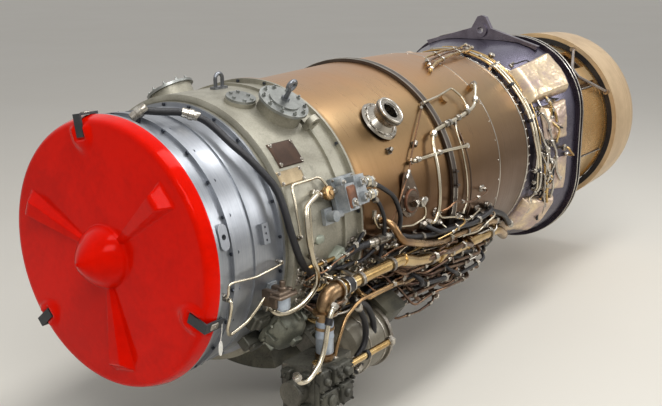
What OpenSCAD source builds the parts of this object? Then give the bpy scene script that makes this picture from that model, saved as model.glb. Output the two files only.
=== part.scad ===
// Two-spool turbofan with reheat and a variable nozzle, its intake cover fitted.
// X runs along the engine from intake to nozzle, Z is up, and -Y is the port side.
// The origin is the centre of the intake flange's front face.
// A place is given as a station along X and an angle from the top towards port.

/* [Stations along the engine] */
// Length of the intake casing
intake_len = 60; // [52:1:80]
// Length of the fan casing
fan_len = 168; // [160:1:190]
// Length of the intermediate casing
mid_len = 284; // [270:2:310]
// Length of the tapered front duct
cone_len = 453; // [430:1:500]
// Width of the band that clamps the two ducts together
hoop_w = 26; // [20:1:32]
// Length of the rear duct
rear_len = 579; // [560:1:620]
// Length of the rear fairing
fairing_len = 310; // [290:2:340]
// Distance from the seal frame to the nozzle sleeve
tail_gap = 430; // [410:2:470]
// Length of the nozzle sleeve
sleeve_len = 230; // [215:1:250]

/* [Radii of the skin] */
// Radius of the fan casing
fan_r = 318; // [314:1:320]
// Height of the main flanges above the fan casing
flange_rise = 10; // [8:1:14]
// Rise from the fan casing to the intermediate casing
mid_rise = 27; // [22:1:32]
// Drop from the intermediate casing to the front duct
cone_drop = 3; // [2:0.5:6]
// Rise of the front duct along its length
cone_rise = 20; // [14:1:24]
// Height of the clamp band above the ducts
hoop_high = 9; // [8:1:12]
// Drop of the rear duct towards its rear end
rear_drop = 17; // [10:1:22]
// Drop of the riveted rim below that
rim_drop = 9; // [5:1:12]
// Rise of the seal frame's flats above the rim
seal_rise = 49; // [40:1:56]
// Distance from the seal frame's flats to the centres of its corners
seal_round = 109; // [100:1:130]
// Radius of the nozzle sleeve at its front
sleeve_r = 358; // [354:1:364]
// Radius of the nozzle sleeve at its rear
sleeve_end_r = 349; // [346:1:352]

/* [Walls] */
// Wall of the cast casings
cast_wall = 6; // [5:0.5:8]
// Wall of the sheet ducts
duct_wall = 2.5; // [2:0.5:4]
// Thickness of the main flanges
flange_t = 8; // [6:1:10]
// Wall of the moulded intake cover
cover_wall = 4; // [3:0.5:5]
// Wall of the hot pipe and fairing
hot_wall = 3; // [2.5:0.5:4]

/* [Intake cover] */
// Depth of the cover in front of the flange
cover_deep = 33; // [28:1:40]
// Step from the flange's edge in to the cover's flat face
cover_step = 12; // [10:1:16]
// Radius of the dome at the middle of the cover
dome_r = 76; // [70:1:82]
// Height of the dome above the face
dome_high = 84; // [78:1:95]
// Height of the three ribs above the face
rib_high = 22; // [16:1:28]
// Width of a rib at its outer end
rib_wide = 64; // [54:2:72]
// Angle of the first rib
rib_phi = 50; // [46:1:54]
// Angle of the first strap
strap_phi = -11; // [-16:1:-6]

/* [Fan] */
// Depth of the fan casing between its skin and the air passage
case_deep = 28; // [24:1:32]
// Gap between blade tips and casing
tip_gap = 2; // [1.5:0.5:3]
// Number of first-stage fan blades
fan_blades = 20; // [16:1:24]
// Number of second-stage fan blades
fan_blades_2 = 26; // [20:1:30]
// Number of vanes in each fan stator
fan_vanes = 30; // [24:1:34]
// Radius of the hub under the first fan stage
fan_hub_r = 112; // [106:1:118]

/* [Core] */
// Radius of the low-pressure shaft
low_shaft_r = 28; // [24:1:30]
// Radius of the high-pressure shaft
high_shaft_r = 46; // [42:1:50]
// Running gap between the two shafts
shaft_gap = 8; // [6:1:10]
// Radius of the compressor's air passage at its first stage
comp_r = 192; // [188:1:198]
// Radius of the compressor's air passage at its last stage
comp_end_r = 168; // [164:1:172]
// Number of compressor stages
comp_stages = 5; // [4:1:5]
// Number of blades in each compressor stage
comp_blades = 18; // [16:1:24]
// Radius of the combustion casing
burner_r = 244; // [236:1:250]
// Number of fuel burners
burners = 18; // [12:1:20]
// Radius of the gas passage at the turbines
turbine_r = 214; // [210:1:220]
// Number of blades on each turbine
turbine_blades = 36; // [28:1:40]
// Radius of the hub under the turbine blades
turb_hub_r = 160; // [152:1:166]

/* [Nozzle] */
// Radius of the jet pipe at the nozzle hinges
jet_r = 286; // [284:1:290]
// Number of petals
petals = 10; // [10:1:10]
// Length of a petal from its hinge
petal_len = 186; // [176:1:190]
// Thickness of a petal
petal_t = 4; // [3:0.5:5]
// Angle of a petal to the axis with the nozzle closed
petal_closed = 14; // [12:1:15]
// Travel of the sleeve along the engine
sleeve_travel = 60; // [50:1:64]
// Radius of the petal hinge pins
hinge_pin_r = 3; // [2.5:0.5:4]
// Radial play of the hinge pins
hinge_play = 0.3; // [0.2:0.05:0.5]

/* [Ports and mounts] */
// Distance from the intake flange's edge in to its bolt circle
pcd_inset = 20; // [18:1:22]
// Number of bolts on each main flange
flange_bolts = 24; // [20:2:28]
// Radius of the intake flange's bolt holes
bolt_hole_r = 3.3; // [3.2:0.1:3.6]
// Radius of the bolt holes in the casing joints
joint_hole_r = 2.8; // [2.6:0.1:3]
// Bore radius of the air port on the front duct
port_bore_r = 31; // [27:1:33]
// Bore radius of the rear mounting lug
lug_bore_r = 12; // [10:0.5:14]
// Width of the rear mounting lug
lug_wide = 36; // [30:1:44]
// Bore radius of the front mounting lugs
ear_bore_r = 8; // [6:0.5:10]

/* [Clearances] */
// Gap between round parts that seat in one another
fit = 0.2; // [0.1:0.05:0.3]
// Gap between a bolt and its hole
bolt_play = 0.3; // [0.2:0.05:0.5]

/* [Hidden] */
$fn = 96;

// Stations along X, each where a casing starts
fan_x = intake_len;
mid_x = fan_x + fan_len;
cone_x = mid_x + mid_len;
hoop_x = cone_x + cone_len;
rear_x = hoop_x + hoop_w;
tail_x = rear_x + rear_len;
seal_x = tail_x + fairing_len;
seal_deep = 50;
sleeve_x = seal_x + seal_deep + tail_gap;
engine_end = sleeve_x + sleeve_len;

// Radii that follow from the fan casing's
flange_r = fan_r + flange_rise;
mid_r = fan_r + mid_rise;
cone_r = mid_r - cone_drop;
duct_r = cone_r + cone_rise;
hoop_r = duct_r + hoop_high;
rear_r = duct_r - rear_drop;
rim_r = rear_r - rim_drop;
seal_half = rim_r + seal_rise;
seal_corner = seal_half - seal_round;
cover_face_r = flange_r - cover_step;
air_r = fan_r - case_deep;
intake_pcd_r = flange_r - pcd_inset;

// Radius of the skin at each station
skin = [[0, fan_r], [mid_x, fan_r], [mid_x + 12, mid_r], [cone_x, mid_r], [cone_x + 1, cone_r],
    [cone_x + 60, cone_r + 4], [hoop_x, duct_r], [rear_x + 300, duct_r], [tail_x - 30, rear_r], [tail_x, rim_r],
    [tail_x + 60, rim_r], [seal_x, seal_half - 12]];
function skin_at(x) = lookup(x, skin);

// A point at station x, angle phi from the top towards port, and radius r
function polar(x, phi, r) = [x, -r * sin(phi), r * cos(phi)];
function unit(v) = v / norm(v);

module at(x, phi, r) rotate([phi, 0, 0]) translate([x, 0, r]) children();
module around(n, from = 0) for (i = [0 : n - 1]) rotate([from + 360 * i / n, 0, 0]) children();
// Turns an outline of [station, radius] points about the engine's axis
module spun(outline) rotate([0, 90, 0]) rotate_extrude() polygon([for (p = outline) [p[1], p[0]]]);
// The same, over part of a turn from phi_a to phi_b
module spun_part(outline, phi_a, phi_b)
    rotate([phi_a, 0, 0]) rotate([0, 90, 0]) rotate([0, 0, 180])
        rotate_extrude(angle = phi_b - phi_a) polygon([for (p = outline) [p[1], p[0]]]);
// Outline of a sheet wall with its outer face on the given points
function sheet(outer, t) = concat(outer, [for (i = [len(outer) - 1 : -1 : 0]) outer[i] - [0, t]]);
// A round bar or tube along X
module bar_x(x, r, len, bore = 0) translate([x, 0, 0]) rotate([0, 90, 0]) difference() {
    cylinder(r = r, h = len);
    if (bore > 0) translate([0, 0, -1]) cylinder(r = bore, h = len + 2);
}
module hex(across, high) cylinder(d = across / cos(30), h = high, $fn = 6);

// A tube swept along points, each ring square to the route
function along(p, i) = unit(p[min(i + 1, len(p) - 1)] - p[max(i - 1, 0)]);
function sides_of(p, i, last) = i == len(p) ? [] :
    let (t = along(p, i), s = unit(last - t * (last * t))) concat([s], sides_of(p, i + 1, s));
function first_side(t) = abs(t[0]) < 0.8 ? [1, 0, 0] : [0, 0, 1];
module tube(p, r, n = 8) {
    s = sides_of(p, 0, first_side(along(p, 0)));
    pts = [for (i = [0 : len(p) - 1], k = [0 : n - 1]) let (t = along(p, i), u = cross(t, s[i]))
        p[i] + r * (s[i] * cos(360 * k / n) + u * sin(360 * k / n))];
    m = len(p) - 1;
    polyhedron(pts, concat(
        [for (i = [0 : m - 1], k = [0 : n - 1]) let (j = (k + 1) % n)
            [i * n + k, (i + 1) * n + k, (i + 1) * n + j, i * n + j]],
        [[for (k = [0 : n - 1]) k]], [[for (k = [n - 1 : -1 : 0]) m * n + k]]));
}
// Radius where a pipe's end rests on the sloping skin
function foot_at(x, r) = skin_at(x) + fit + r * abs(skin_at(x + 5) - skin_at(x - 5)) / 10;
// Routes are lists of [station, angle, radius]; corners are rounded over d
deg_mm = 6.3;
function flat_len(a, b) = norm([b[0] - a[0], (b[1] - a[1]) * deg_mm, b[2] - a[2]]);
function towards(a, b, d) = a + (b - a) * min(0.45, d / flat_len(a, b));
function rounded(p, d) = concat([p[0]], [for (i = [1 : len(p) - 2])
    let (a = towards(p[i], p[i - 1], d), b = towards(p[i], p[i + 1], d))
    each [a, (a + 2 * p[i] + b) / 4, b]], [p[len(p) - 1]]);
function finer(p) = concat([for (i = [0 : len(p) - 2])
    let (n = max(1, ceil(abs(p[i + 1][1] - p[i][1]) / 14)))
    each [for (j = [0 : n - 1]) p[i] + (p[i + 1] - p[i]) * j / n]], [p[len(p) - 1]]);
function route(p, d = 22) = [for (q = finer(rounded(p, d))) polar(q[0], q[1], q[2])];
module pipe(p, r, n = 8, d = 22) tube(route(p, d), r, n);

// A crescent blade section, chord along the first axis, cambered by c
function blade_2d(chord, c, t) = concat(
    [for (s = [-1 : 0.5 : 1]) [s * chord / 2, c * (1 - s * s) + t * (1 - s * s) / 2]],
    [for (s = [0.5 : -0.5 : -0.5]) [s * chord / 2, c * (1 - s * s) - t * (1 - s * s) / 2]]);
// A straight blade from radius r0 to r1, its chord turned by stagger
module vane(x, r0, r1, chord, stagger, c = 2, t = 3)
    translate([x, 0, r0]) rotate([0, 0, stagger]) linear_extrude(r1 - r0)
        polygon(blade_2d(chord, c, t));
// A twisted blade lofted through sections from hub to tip
module twisted_blade(x, r0, r1, chord, hub_turn, tip_turn, c, t) {
    rows = 5;
    o = blade_2d(chord, c, t);
    n = len(o);
    pts = [for (i = [0 : rows]) let (f = i / rows, a = hub_turn + (tip_turn - hub_turn) * f,
        w = 1 + 0.12 * f, thin = 1 - 0.5 * f) for (q = o)
        let (u = q[0] * w, v = q[1] * thin)
        [x + u * cos(a) - v * sin(a), u * sin(a) + v * cos(a), r0 + (r1 - r0) * f]];
    polyhedron(pts, concat(
        [for (i = [0 : rows - 1], k = [0 : n - 1]) let (j = (k + 1) % n)
            each [[i * n + j, (i + 1) * n + j, (i + 1) * n + k], [i * n + j, (i + 1) * n + k, i * n + k]]],
        [[for (k = [n - 1 : -1 : 0]) k]], [[for (k = [0 : n - 1]) rows * n + k]]));
}

// Intake cover: a moulded pan with a dome and three ribs, standing on the flange
module rib_form(phi, less) {
    r0 = dome_r - cover_wall + 1 + 2 * less;
    r1 = cover_face_r - 40 - less;
    w0 = 28 - 2 * less;
    w1 = rib_wide - 2 * less;
    high = rib_high - less;
    rotate([phi, 0, 0]) hull() {
        translate([-cover_deep + cover_wall / 2, 0, 0]) rotate([0, 90, 0])
            linear_extrude(1 + less) polygon([[-r0, -w0 / 2], [-r1, -w1 / 2],
                [-r1, w1 / 2], [-r0, w0 / 2]]);
        translate([-cover_deep - high, 0, 0]) rotate([0, 90, 0])
            linear_extrude(1) polygon([[-r0, -w0 / 2 + 6], [-r1 + 14, -w1 / 2 + 10],
                [-r1 + 14, w1 / 2 - 10], [-r0, w0 / 2 - 6]]);
    }
}
dome_curve = [for (a = [0 : 15 : 90]) [-cover_deep - dome_high * sin(a), dome_r * cos(a)]];
module intake_cover() color("#d81f14") difference() {
    union() {
        spun(concat([[0, flange_r], [-cover_deep + 8, cover_face_r + 7],
            [-cover_deep + 2, cover_face_r + 3], [-cover_deep, cover_face_r - 3]], dome_curve,
            [for (i = [len(dome_curve) - 1 : -1 : 0]) [min(dome_curve[i][0] + cover_wall,
                -cover_deep + cover_wall), max(dome_curve[i][1] - cover_wall, 0)]],
            [[-cover_deep + cover_wall, cover_face_r - 4],
             [-5, flange_r - 6], [-5, flange_r - 11], [0, flange_r - 11]]));
        for (k = [0 : 2]) rib_form(rib_phi + 120 * k, 0);
    }
    for (k = [0 : 2]) rib_form(rib_phi + 120 * k, cover_wall);
}
// Three rubber straps that hook the cover to the flange
strap_w = 24;
module cover_straps() color("#232325") for (k = [0 : 2]) rotate([strap_phi + 120 * k, 0, 0]) {
    translate([-cover_deep - 5, -strap_w / 2, cover_face_r - 36]) cube([5 - fit, strap_w, 42]);
    translate([-cover_deep - 5, -strap_w / 2, flange_r + 1]) cube([cover_deep + 22, strap_w, 5]);
    translate([-cover_deep - 5, -strap_w / 2, cover_face_r + 4]) cube([5, strap_w, 13]);
    translate([flange_t + 3, -strap_w / 2, fan_r + 1]) cube([6, strap_w, 13]);
}
// A blank oval tag that hangs by a wire from the lower port strap
module cover_tag() {
    tag_at = polar(14, strap_phi + 120, flange_r + 6.8);
    color("white") translate(tag_at - [8, 0, 56]) rotate([90, 0, 20]) linear_extrude(1.6)
        difference() { scale([0.62, 1]) circle(r = 17); translate([0, 13]) circle(r = 1.8, $fn = 24); }
    color("silver") tube([tag_at + [0, 0, -1], tag_at - [3, 1, 20], tag_at - [7, -0.4, 42]], 0.8, 6);
}

// Intake and fan casings
module bolt_holes(x, r, n, deep, hole = bolt_hole_r)
    around(n, 180 / n) translate([x - 1, 0, r]) rotate([0, 90, 0])
        cylinder(r = hole, h = deep + 2, $fn = 24);
module intake_casing() color("#8fa0b0") {
    difference() {
        spun([[0, air_r], [0, flange_r], [flange_t, flange_r], [flange_t, fan_r - 3],
            [fan_x - flange_t, fan_r - 3], [fan_x - flange_t, flange_r - 4], [fan_x, flange_r - 4],
            [fan_x, air_r]]);
        spun([[flange_t, air_r + cast_wall], [flange_t, fan_r - 3 - cast_wall],
            [fan_x - flange_t, fan_r - 3 - cast_wall], [fan_x - flange_t, air_r + cast_wall]]);
        bolt_holes(0, intake_pcd_r, flange_bolts, flange_t);
        bolt_holes(fan_x - flange_t, fan_bolt_r, flange_bolts, flange_t, joint_hole_r);
        at(fan_x * 0.6, 75, fan_r - 30) cylinder(r = 6, h = 60);
    }
    // Oval boss with its plug seat
    at(fan_x * 0.55, 75, fan_r - 5) difference() {
        union() {
            translate([-14, -16, 0]) cube([28, 32, 10]);
            for (s = [-1, 1]) translate([0, 16 * s, 0]) cylinder(r = 14, h = 10);
        }
        translate([0, 0, -1]) cylinder(r = 6.5, h = 12);
    }
}
fan_seam_x = fan_x + 70;
fan_bolt_r = fan_r + 2;
mid_bolt_r = fan_r + 5;
cone_bolt_r = mid_r + 6.5;
module fan_casing() color("#93a5b6") difference() {
    union() {
        spun([[fan_x, air_r], [fan_x, flange_r - 4], [fan_x + flange_t, flange_r - 4],
            [fan_x + flange_t, fan_r - 3], [fan_seam_x - 3, fan_r - 1], [fan_seam_x - 3, fan_r + 3],
            [fan_seam_x + 3, fan_r + 3], [fan_seam_x + 3, fan_r],
            [mid_x - flange_t, fan_r], [mid_x - flange_t, flange_r], [mid_x, flange_r],
            [mid_x, air_r], [mid_x - flange_t, air_r], [mid_x - flange_t, fan_r - cast_wall],
            [fan_x + flange_t, fan_r - 3 - cast_wall], [fan_x + flange_t, air_r]]);
        spun([[fan_x, air_r], [fan_x, air_r + 5], [mid_x, air_r + 5], [mid_x, air_r]]);
        // Three-bolt pad and a smaller pad behind it
        at(fan_x + 105, 79, fan_r - 4) translate([-11, -24, 0]) cube([22, 48, 14]);
        at(fan_x + 105, -60, fan_r - 4) translate([-14, -18, 0]) cube([28, 36, 10]);
    }
    bolt_holes(fan_x, fan_bolt_r, flange_bolts, flange_t, joint_hole_r);
    bolt_holes(mid_x - flange_t, mid_bolt_r, flange_bolts, flange_t, joint_hole_r);
    for (s = [-1 : 1]) at(fan_x + 105, 79, fan_r) translate([0, 15 * s, 2])
        cylinder(r = 3, h = 12, $fn = 24);
    // Drain hole
    at(fan_x + 30, 180, fan_r - 20) cylinder(r = 4, h = 40, $fn = 24);
}
// Bolts of the casing joints; those at the fan casing's rear are tapped in
module joint_bolt(x, r, grip, nut = true) translate([x, 0, r]) rotate([0, 90, 0]) {
    translate([0, 0, -4]) hex(7.5, 4);
    cylinder(r = joint_hole_r - bolt_play, h = grip + (nut ? 6 : -1), $fn = 24);
    if (nut) translate([0, 0, grip]) hex(7.5, 4);
}
module casing_bolts() color("#5d6470") {
    around(flange_bolts, 180 / flange_bolts) joint_bolt(fan_x - flange_t, fan_bolt_r, 2 * flange_t);
    around(flange_bolts, 180 / flange_bolts)
        joint_bolt(mid_x - flange_t, mid_bolt_r, 2 * flange_t, false);
    around(flange_bolts, 180 / flange_bolts) joint_bolt(cone_x - flange_t, cone_bolt_r, 2 * flange_t);
}
// Two rings of fan stator vanes with their outer bands and hub rings
rotor_1_x = 80;
stator_1_x = rotor_1_x + 66;
rotor_2_x = stator_1_x + 26;
stator_2_x = rotor_2_x + 36;
band_t = 4;
function hub_at(x) = lookup(x, [[rotor_1_x, fan_hub_r], [rotor_2_x, fan_hub_r + 22],
    [mid_x, fan_hub_r + 34]]);
module stator_ring(x, wide, r1, n, r0) {
    spun([[x, r1], [x, r1 - band_t], [x + wide, r1 - band_t], [x + wide, r1]]);
    spun([[x, r0], [x, r0 - band_t], [x + wide, r0 - band_t], [x + wide, r0]]);
    around(n) vane(x + wide / 2, r0 - 1, r1 - 1, wide - 5, 14, 3, 3);
}
module fan_stators() color("#a9b1b8") {
    stator_ring(stator_1_x, 20, air_r - fit, fan_vanes, hub_at(stator_1_x));
    stator_ring(stator_2_x, 18, air_r - fit, fan_vanes, hub_at(stator_2_x));
}

// Intermediate casing: shell, splitter and hub joined by struts, with top towers
split_r = 236;
core_r = 130;
tower_x = mid_x + 168;
tower_phi = 31;
tower_r = 58;
tower_top = mid_r + 30;
ear_x = mid_x + 216;
ear_phi = 42;
ear_r = mid_r + 25;
bearing_r = 64;
module tower(phi) at(tower_x, phi, 0) translate([0, 0, mid_r - 22]) cylinder(r = tower_r, h = tower_top - mid_r + 22);
module ear(phi) at(ear_x, phi, ear_r) rotate([90, 0, 0]) {
    cylinder(r = ear_bore_r + 10, h = 16, center = true);
    translate([-14, -42, -8]) cube([28, 42, 16]);
}
module intermediate_casing() color("#9aa08c") difference() {
    union() {
        // Outer shell, with its swell behind the front joint and its rear flange
        spun(sheet([[mid_x + flange_t, mid_r - 8], [mid_x + 12, mid_r], [cone_x - 12, mid_r]], cast_wall));
        spun([[mid_x, air_r], [mid_x, flange_r], [mid_x + 10, flange_r], [mid_x + 10, mid_r - 6],
            [mid_x + 18, mid_r - 4], [mid_x + 18, air_r + 14]]);
        spun([[cone_x - 14, mid_r - cast_wall], [cone_x - 14, mid_r], [cone_x - flange_t, mid_r],
            [cone_x - flange_t, mid_r + 13], [cone_x, mid_r + 13], [cone_x, mid_r - cast_wall]]);
        spun(sheet([[mid_x + 18, air_r + 16], [mid_x + 60, mid_r - 3]], 4));
        // Splitter and hub
        spun([[mid_x + 30, split_r], [mid_x + 46, split_r + 5], [mid_x + 150, split_r - 10],
            [comp_x, comp_r + 18], [comp_x, comp_r], [mid_x + 60, split_r - 12]]);
        spun([[mid_x + 4, hub_at(mid_x)], [mid_x + 60, core_r + 8], [comp_x - 6, core_r - 6],
            [comp_x - 6, core_r - 14], [mid_x + 60, core_r - 2], [mid_x + 4, hub_at(mid_x) - 8]]);
        spun([[mid_x + 40, core_r], [mid_x + 54, core_r], [mid_x + 54, bearing_r + 8],
            [mid_x + 70, bearing_r + 8], [mid_x + 70, bearing_r],
            [mid_x + 26, bearing_r], [mid_x + 26, bearing_r + 8],
            [mid_x + 40, bearing_r + 8]]);
        around(8, 22.5) {
            vane(mid_x + 72, core_r - 4, split_r - 6, 44, 0, 0, 9);
            vane(mid_x + 86, split_r - 8, mid_r - 2, 70, 0, 0, 13);
        }
        for (s = [-1, 1]) { tower(s * tower_phi); ear(s * ear_phi); }
        // Oval boss between the towers, lower pads and the ribs round the casing
        at(mid_x + 98, 19, mid_r - 6) scale([1.25, 1, 1]) cylinder(r = 36, h = 15);
        at(mid_x + 80, 84, mid_r - 4) translate([-14, -26, 0]) cube([28, 52, 9]);
        spun([[ear_x - 4, mid_r - 3], [ear_x - 4, mid_r + 7], [ear_x + 4, mid_r + 7], [ear_x + 4, mid_r - 3]]);
    }
    for (s = [-1, 1]) {
        at(ear_x, s * ear_phi, ear_r) rotate([90, 0, 0]) cylinder(r = ear_bore_r, h = 60, center = true);
        at(tower_x, s * tower_phi, mid_r - 30) cylinder(r = tower_r - 20, h = 80);
    }
    bolt_holes(mid_x - 11, mid_bolt_r, flange_bolts, 20, joint_hole_r);
    bolt_holes(cone_x - flange_t, cone_bolt_r, flange_bolts, flange_t, joint_hole_r);
}
// Covers bolted on the towers and on the oval boss, with their studs
pad_r = 66;
module pad_covers() color("#9da3a4") {
    for (s = [-1, 1]) at(tower_x, s * tower_phi, tower_top) {
        cylinder(r = pad_r, h = 7);
        translate([0, 0, 7]) cylinder(r = pad_r - 26, h = 5);
        for (k = [0 : 9]) rotate([0, 0, 36 * k]) translate([pad_r - 10, 0, 7]) {
            hex(9, 5);
            cylinder(r = 2.5, h = 10, $fn = 24);
        }
    }
    at(mid_x + 98, 19, mid_r + 9) {
        scale([1.25, 1, 1]) cylinder(r = 34, h = 6);
        for (k = [0 : 5]) rotate([0, 0, 60 * k]) translate([27, 0, 6]) hex(8, 4);
    }
}
// Eye bolt on the port cover and lifting loop on the casing between the towers
module eye_bolts() color("#7d8790") {
    at(tower_x, tower_phi, tower_top + 12) {
        hex(19, 7);
        cylinder(r = 6, h = 30);
        translate([0, 0, 42]) rotate([90, 0, 0]) rotate_extrude() translate([12, 0]) circle(r = 6, $fn = 32);
    }
    at(tower_x - 20, 0, mid_r + fit) {
        translate([0, 0, 26]) rotate([90, 0, 0]) rotate_extrude(angle = 180)
            translate([13, 0]) circle(r = 5, $fn = 32);
        for (s = [-1, 1]) translate([13 * s, 0, 0]) cylinder(r = 5, h = 26, $fn = 32);
        translate([-24, -9, 0]) cube([48, 18, 6]);
    }
}

// Ducts round the core, and the band that clamps them together
port_x = cone_x + 214;
port_phi = 48;
port_base_r = skin_at(port_x) - 8;
lip = 6;
module front_duct() color("#a8926f") difference() {
    union() {
        spun(sheet([[cone_x, mid_r + 13], [cone_x + flange_t, mid_r + 13]], 18));
        spun(sheet([[cone_x, cone_r], [cone_x + 60, cone_r + 4], [hoop_x - lip, duct_r - 1],
            [hoop_x + hoop_w / 2, duct_r]], duct_wall));
        spun([[hoop_x + hoop_w / 2 - 4, duct_r - 1], [hoop_x + hoop_w / 2 - 4, duct_r + 5],
            [hoop_x + hoop_w / 2, duct_r + 5], [hoop_x + hoop_w / 2, duct_r - 1]]);
    }
    bolt_holes(cone_x, cone_bolt_r, flange_bolts, flange_t, joint_hole_r);
    at(port_x, port_phi, 200) cylinder(r = port_bore_r, h = 250);
}
boss_high = 10;
boss_list = [[rear_x + 96, 46, 13], [rear_x + 86, 66, 11], [rear_x + 291, 43, 11], [rear_x + 154, -40, 13],
    [rear_x + 470, 130, 19], [rear_x + 300, 114, 14], [rear_x + 436, 134, 13], [rear_x + 474, 123, 13]];
module rear_duct() color("#a38c68") {
    mid_hoop = hoop_x + hoop_w / 2;
    spun(sheet([[mid_hoop, duct_r], [rear_x + 300, duct_r], [tail_x - 30, rear_r],
        [tail_x, rim_r]], duct_wall));
    spun([[mid_hoop, duct_r - 1], [mid_hoop, duct_r + 5], [mid_hoop + 4, duct_r + 5],
        [mid_hoop + 4, duct_r - 1]]);
    // Riveted rim band
    spun(sheet([[tail_x - 34, rear_r + 2.2], [tail_x, rim_r + 2.4]], 3));
    // Bosses for instruments and pipe ends
    for (b = boss_list) at(b[0], b[1], skin_at(b[0]) - 1.8) cylinder(r = b[2], h = boss_high + 1.8);
}
// Clamp band of channel section over the duct flanges, with its closing bolt
module duct_clamp() color("#54473f") {
    spun([[hoop_x, duct_r + fit], [hoop_x, hoop_r], [hoop_x + hoop_w, hoop_r],
        [hoop_x + hoop_w, duct_r + fit], [hoop_x + hoop_w / 2 + 4 + fit, duct_r + fit],
        [hoop_x + hoop_w / 2 + 4 + fit, duct_r + 5 + fit], [hoop_x + hoop_w / 2 - 4 - fit, duct_r + 5 + fit],
        [hoop_x + hoop_w / 2 - 4 - fit, duct_r + fit]]);
    for (s = [-1, 1]) at(hoop_x + hoop_w / 2, 83 + 3 * s, hoop_r - 2) translate([-8, -3, 0]) cube([16, 6, 14]);
    at(hoop_x + hoop_w / 2, 83, hoop_r + 6) rotate([90, 0, 0]) cylinder(r = 3, h = 56, center = true, $fn = 24);
}
// Air port on the front duct, with a collar for a clamped pipe
port_len = 46;
module bleed_port() color("#b9b6ad") at(port_x, port_phi, 0) difference() {
    union() {
        translate([0, 0, port_base_r]) cylinder(r = port_bore_r - fit, h = 30);
        translate([0, 0, skin_at(port_x) + 3.5]) cylinder(r1 = port_bore_r + 30, r2 = port_bore_r + 26, h = 6);
        translate([0, 0, skin_at(port_x) + 8]) cylinder(r1 = port_bore_r + 18, r2 = port_bore_r + 6, h = 16);
        translate([0, 0, skin_at(port_x) + 8]) cylinder(r = port_bore_r + 5, h = port_len);
        translate([0, 0, skin_at(port_x) + 2 + port_len]) cylinder(r = port_bore_r + 10, h = 6);
    }
    translate([0, 0, skin_at(port_x) + 4]) cylinder(r = port_bore_r - 6, h = 120);
    translate([0, 0, port_base_r - 5]) cylinder(r = port_bore_r - 9, h = 120);
}
// Pear-shaped plate on the front duct that carries a pressure switch
hatch_x = cone_x + 232;
hatch_r = 46;
hatch_tip = [-6, 62];
// Unit vector at an angle from the line between the plate's two round ends
function turned(a) = let (b = atan2(hatch_tip[1], hatch_tip[0]) + a) [cos(b), sin(b)];
cone_slope = atan((duct_r - cone_r - 4) / (cone_len - 60));
module hatch_plate() color("#9c8a72") at(hatch_x, 86, skin_at(hatch_x) + 0.4) rotate([0, -cone_slope, 0]) {
    linear_extrude(5) polygon(concat([for (a = [60 : 12 : 300]) hatch_r * turned(a)],
        [for (a = [-60 : 15 : 60]) [hatch_tip[0], hatch_tip[1]] + 20 * turned(a)]));
    cylinder(r = 30, h = 12);
    translate([0, 0, 12]) hex(30, 14);
    cylinder(r = 11, h = 48);
    translate([0, 0, 36]) rotate([0, 90, 0]) cylinder(r = 8, h = 34, center = true);
}

// Core: compressor, combustion and turbine sections inside the bypass duct
comp_x = mid_x + 102;
stage_step = 42;
comp_end_x = comp_x + stage_step * comp_stages + 24;
turb_x = comp_end_x + 226;
turb_end_x = turb_x + 150;
core_end_x = turb_end_x + 120;
hub_front_r = core_r - 8;
hub_end_r = core_r + 16;
function comp_case(x) = lookup(x, [[comp_x, comp_r], [comp_end_x, comp_end_r]]);
function comp_hub(x) = lookup(x, [[comp_x, hub_front_r], [comp_end_x, hub_end_r]]);
function stage_x(i) = comp_x + 16 + stage_step * i;
module compressor_casing() color("#8b8f8a") {
    spun([[comp_x, comp_r], [comp_x, comp_r + 18], [comp_x + flange_t, comp_r + 18],
        [comp_x + flange_t, comp_r + 6], [comp_end_x - flange_t, comp_end_r + 6],
        [comp_end_x - flange_t, comp_end_r + 20], [comp_end_x, comp_end_r + 20],
        [comp_end_x, comp_end_r]]);
    for (i = [0 : comp_stages - 1]) around(comp_blades + 2) let (x = stage_x(i) + stage_step / 2)
        vane(x, comp_hub(x) + 3, comp_case(x) + 1, 15, 24, 1.5, 2.5);
}
bearing_w = 14;
module combustor_casing() color("#9a8f7c") {
    spun(concat([[comp_end_x, comp_end_r], [comp_end_x, comp_end_r + 20],
        [comp_end_x + flange_t, comp_end_r + 20], [comp_end_x + flange_t, comp_end_r + 6],
        [comp_end_x + 60, burner_r], [turb_x - 34, burner_r], [turb_x - flange_t, turbine_r + 14],
        [turb_x - flange_t, turbine_r + 26], [turb_x, turbine_r + 26], [turb_x, turbine_r + 10]],
        [[turb_x - 36, burner_r - 4], [comp_end_x + 62, burner_r - 4], [comp_end_x + 20, comp_end_r]]));
    // Inner wall, held by struts in the diffuser, with the rear bearing housing
    spun(concat(sheet([[comp_end_x + 2, hub_end_r], [comp_end_x + 40, hub_end_r - 16],
        [turb_x - 60, hub_end_r - 34], [turb_x - 20, hub_end_r - 34]], 4), []));
    spun([[turb_x - 50, hub_end_r - 36], [turb_x - 44, hub_end_r - 36],
        [turb_x - 44, bearing_r + 6], [turb_x - 36, bearing_r + 6],
        [turb_x - 36, bearing_r], [turb_x - 58, bearing_r], [turb_x - 58, bearing_r + 6],
        [turb_x - 50, bearing_r + 6]]);
    around(12) vane(comp_end_x + 16, hub_end_r - 8, comp_end_r + 2, 22, 0, 0, 5);
}
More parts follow.
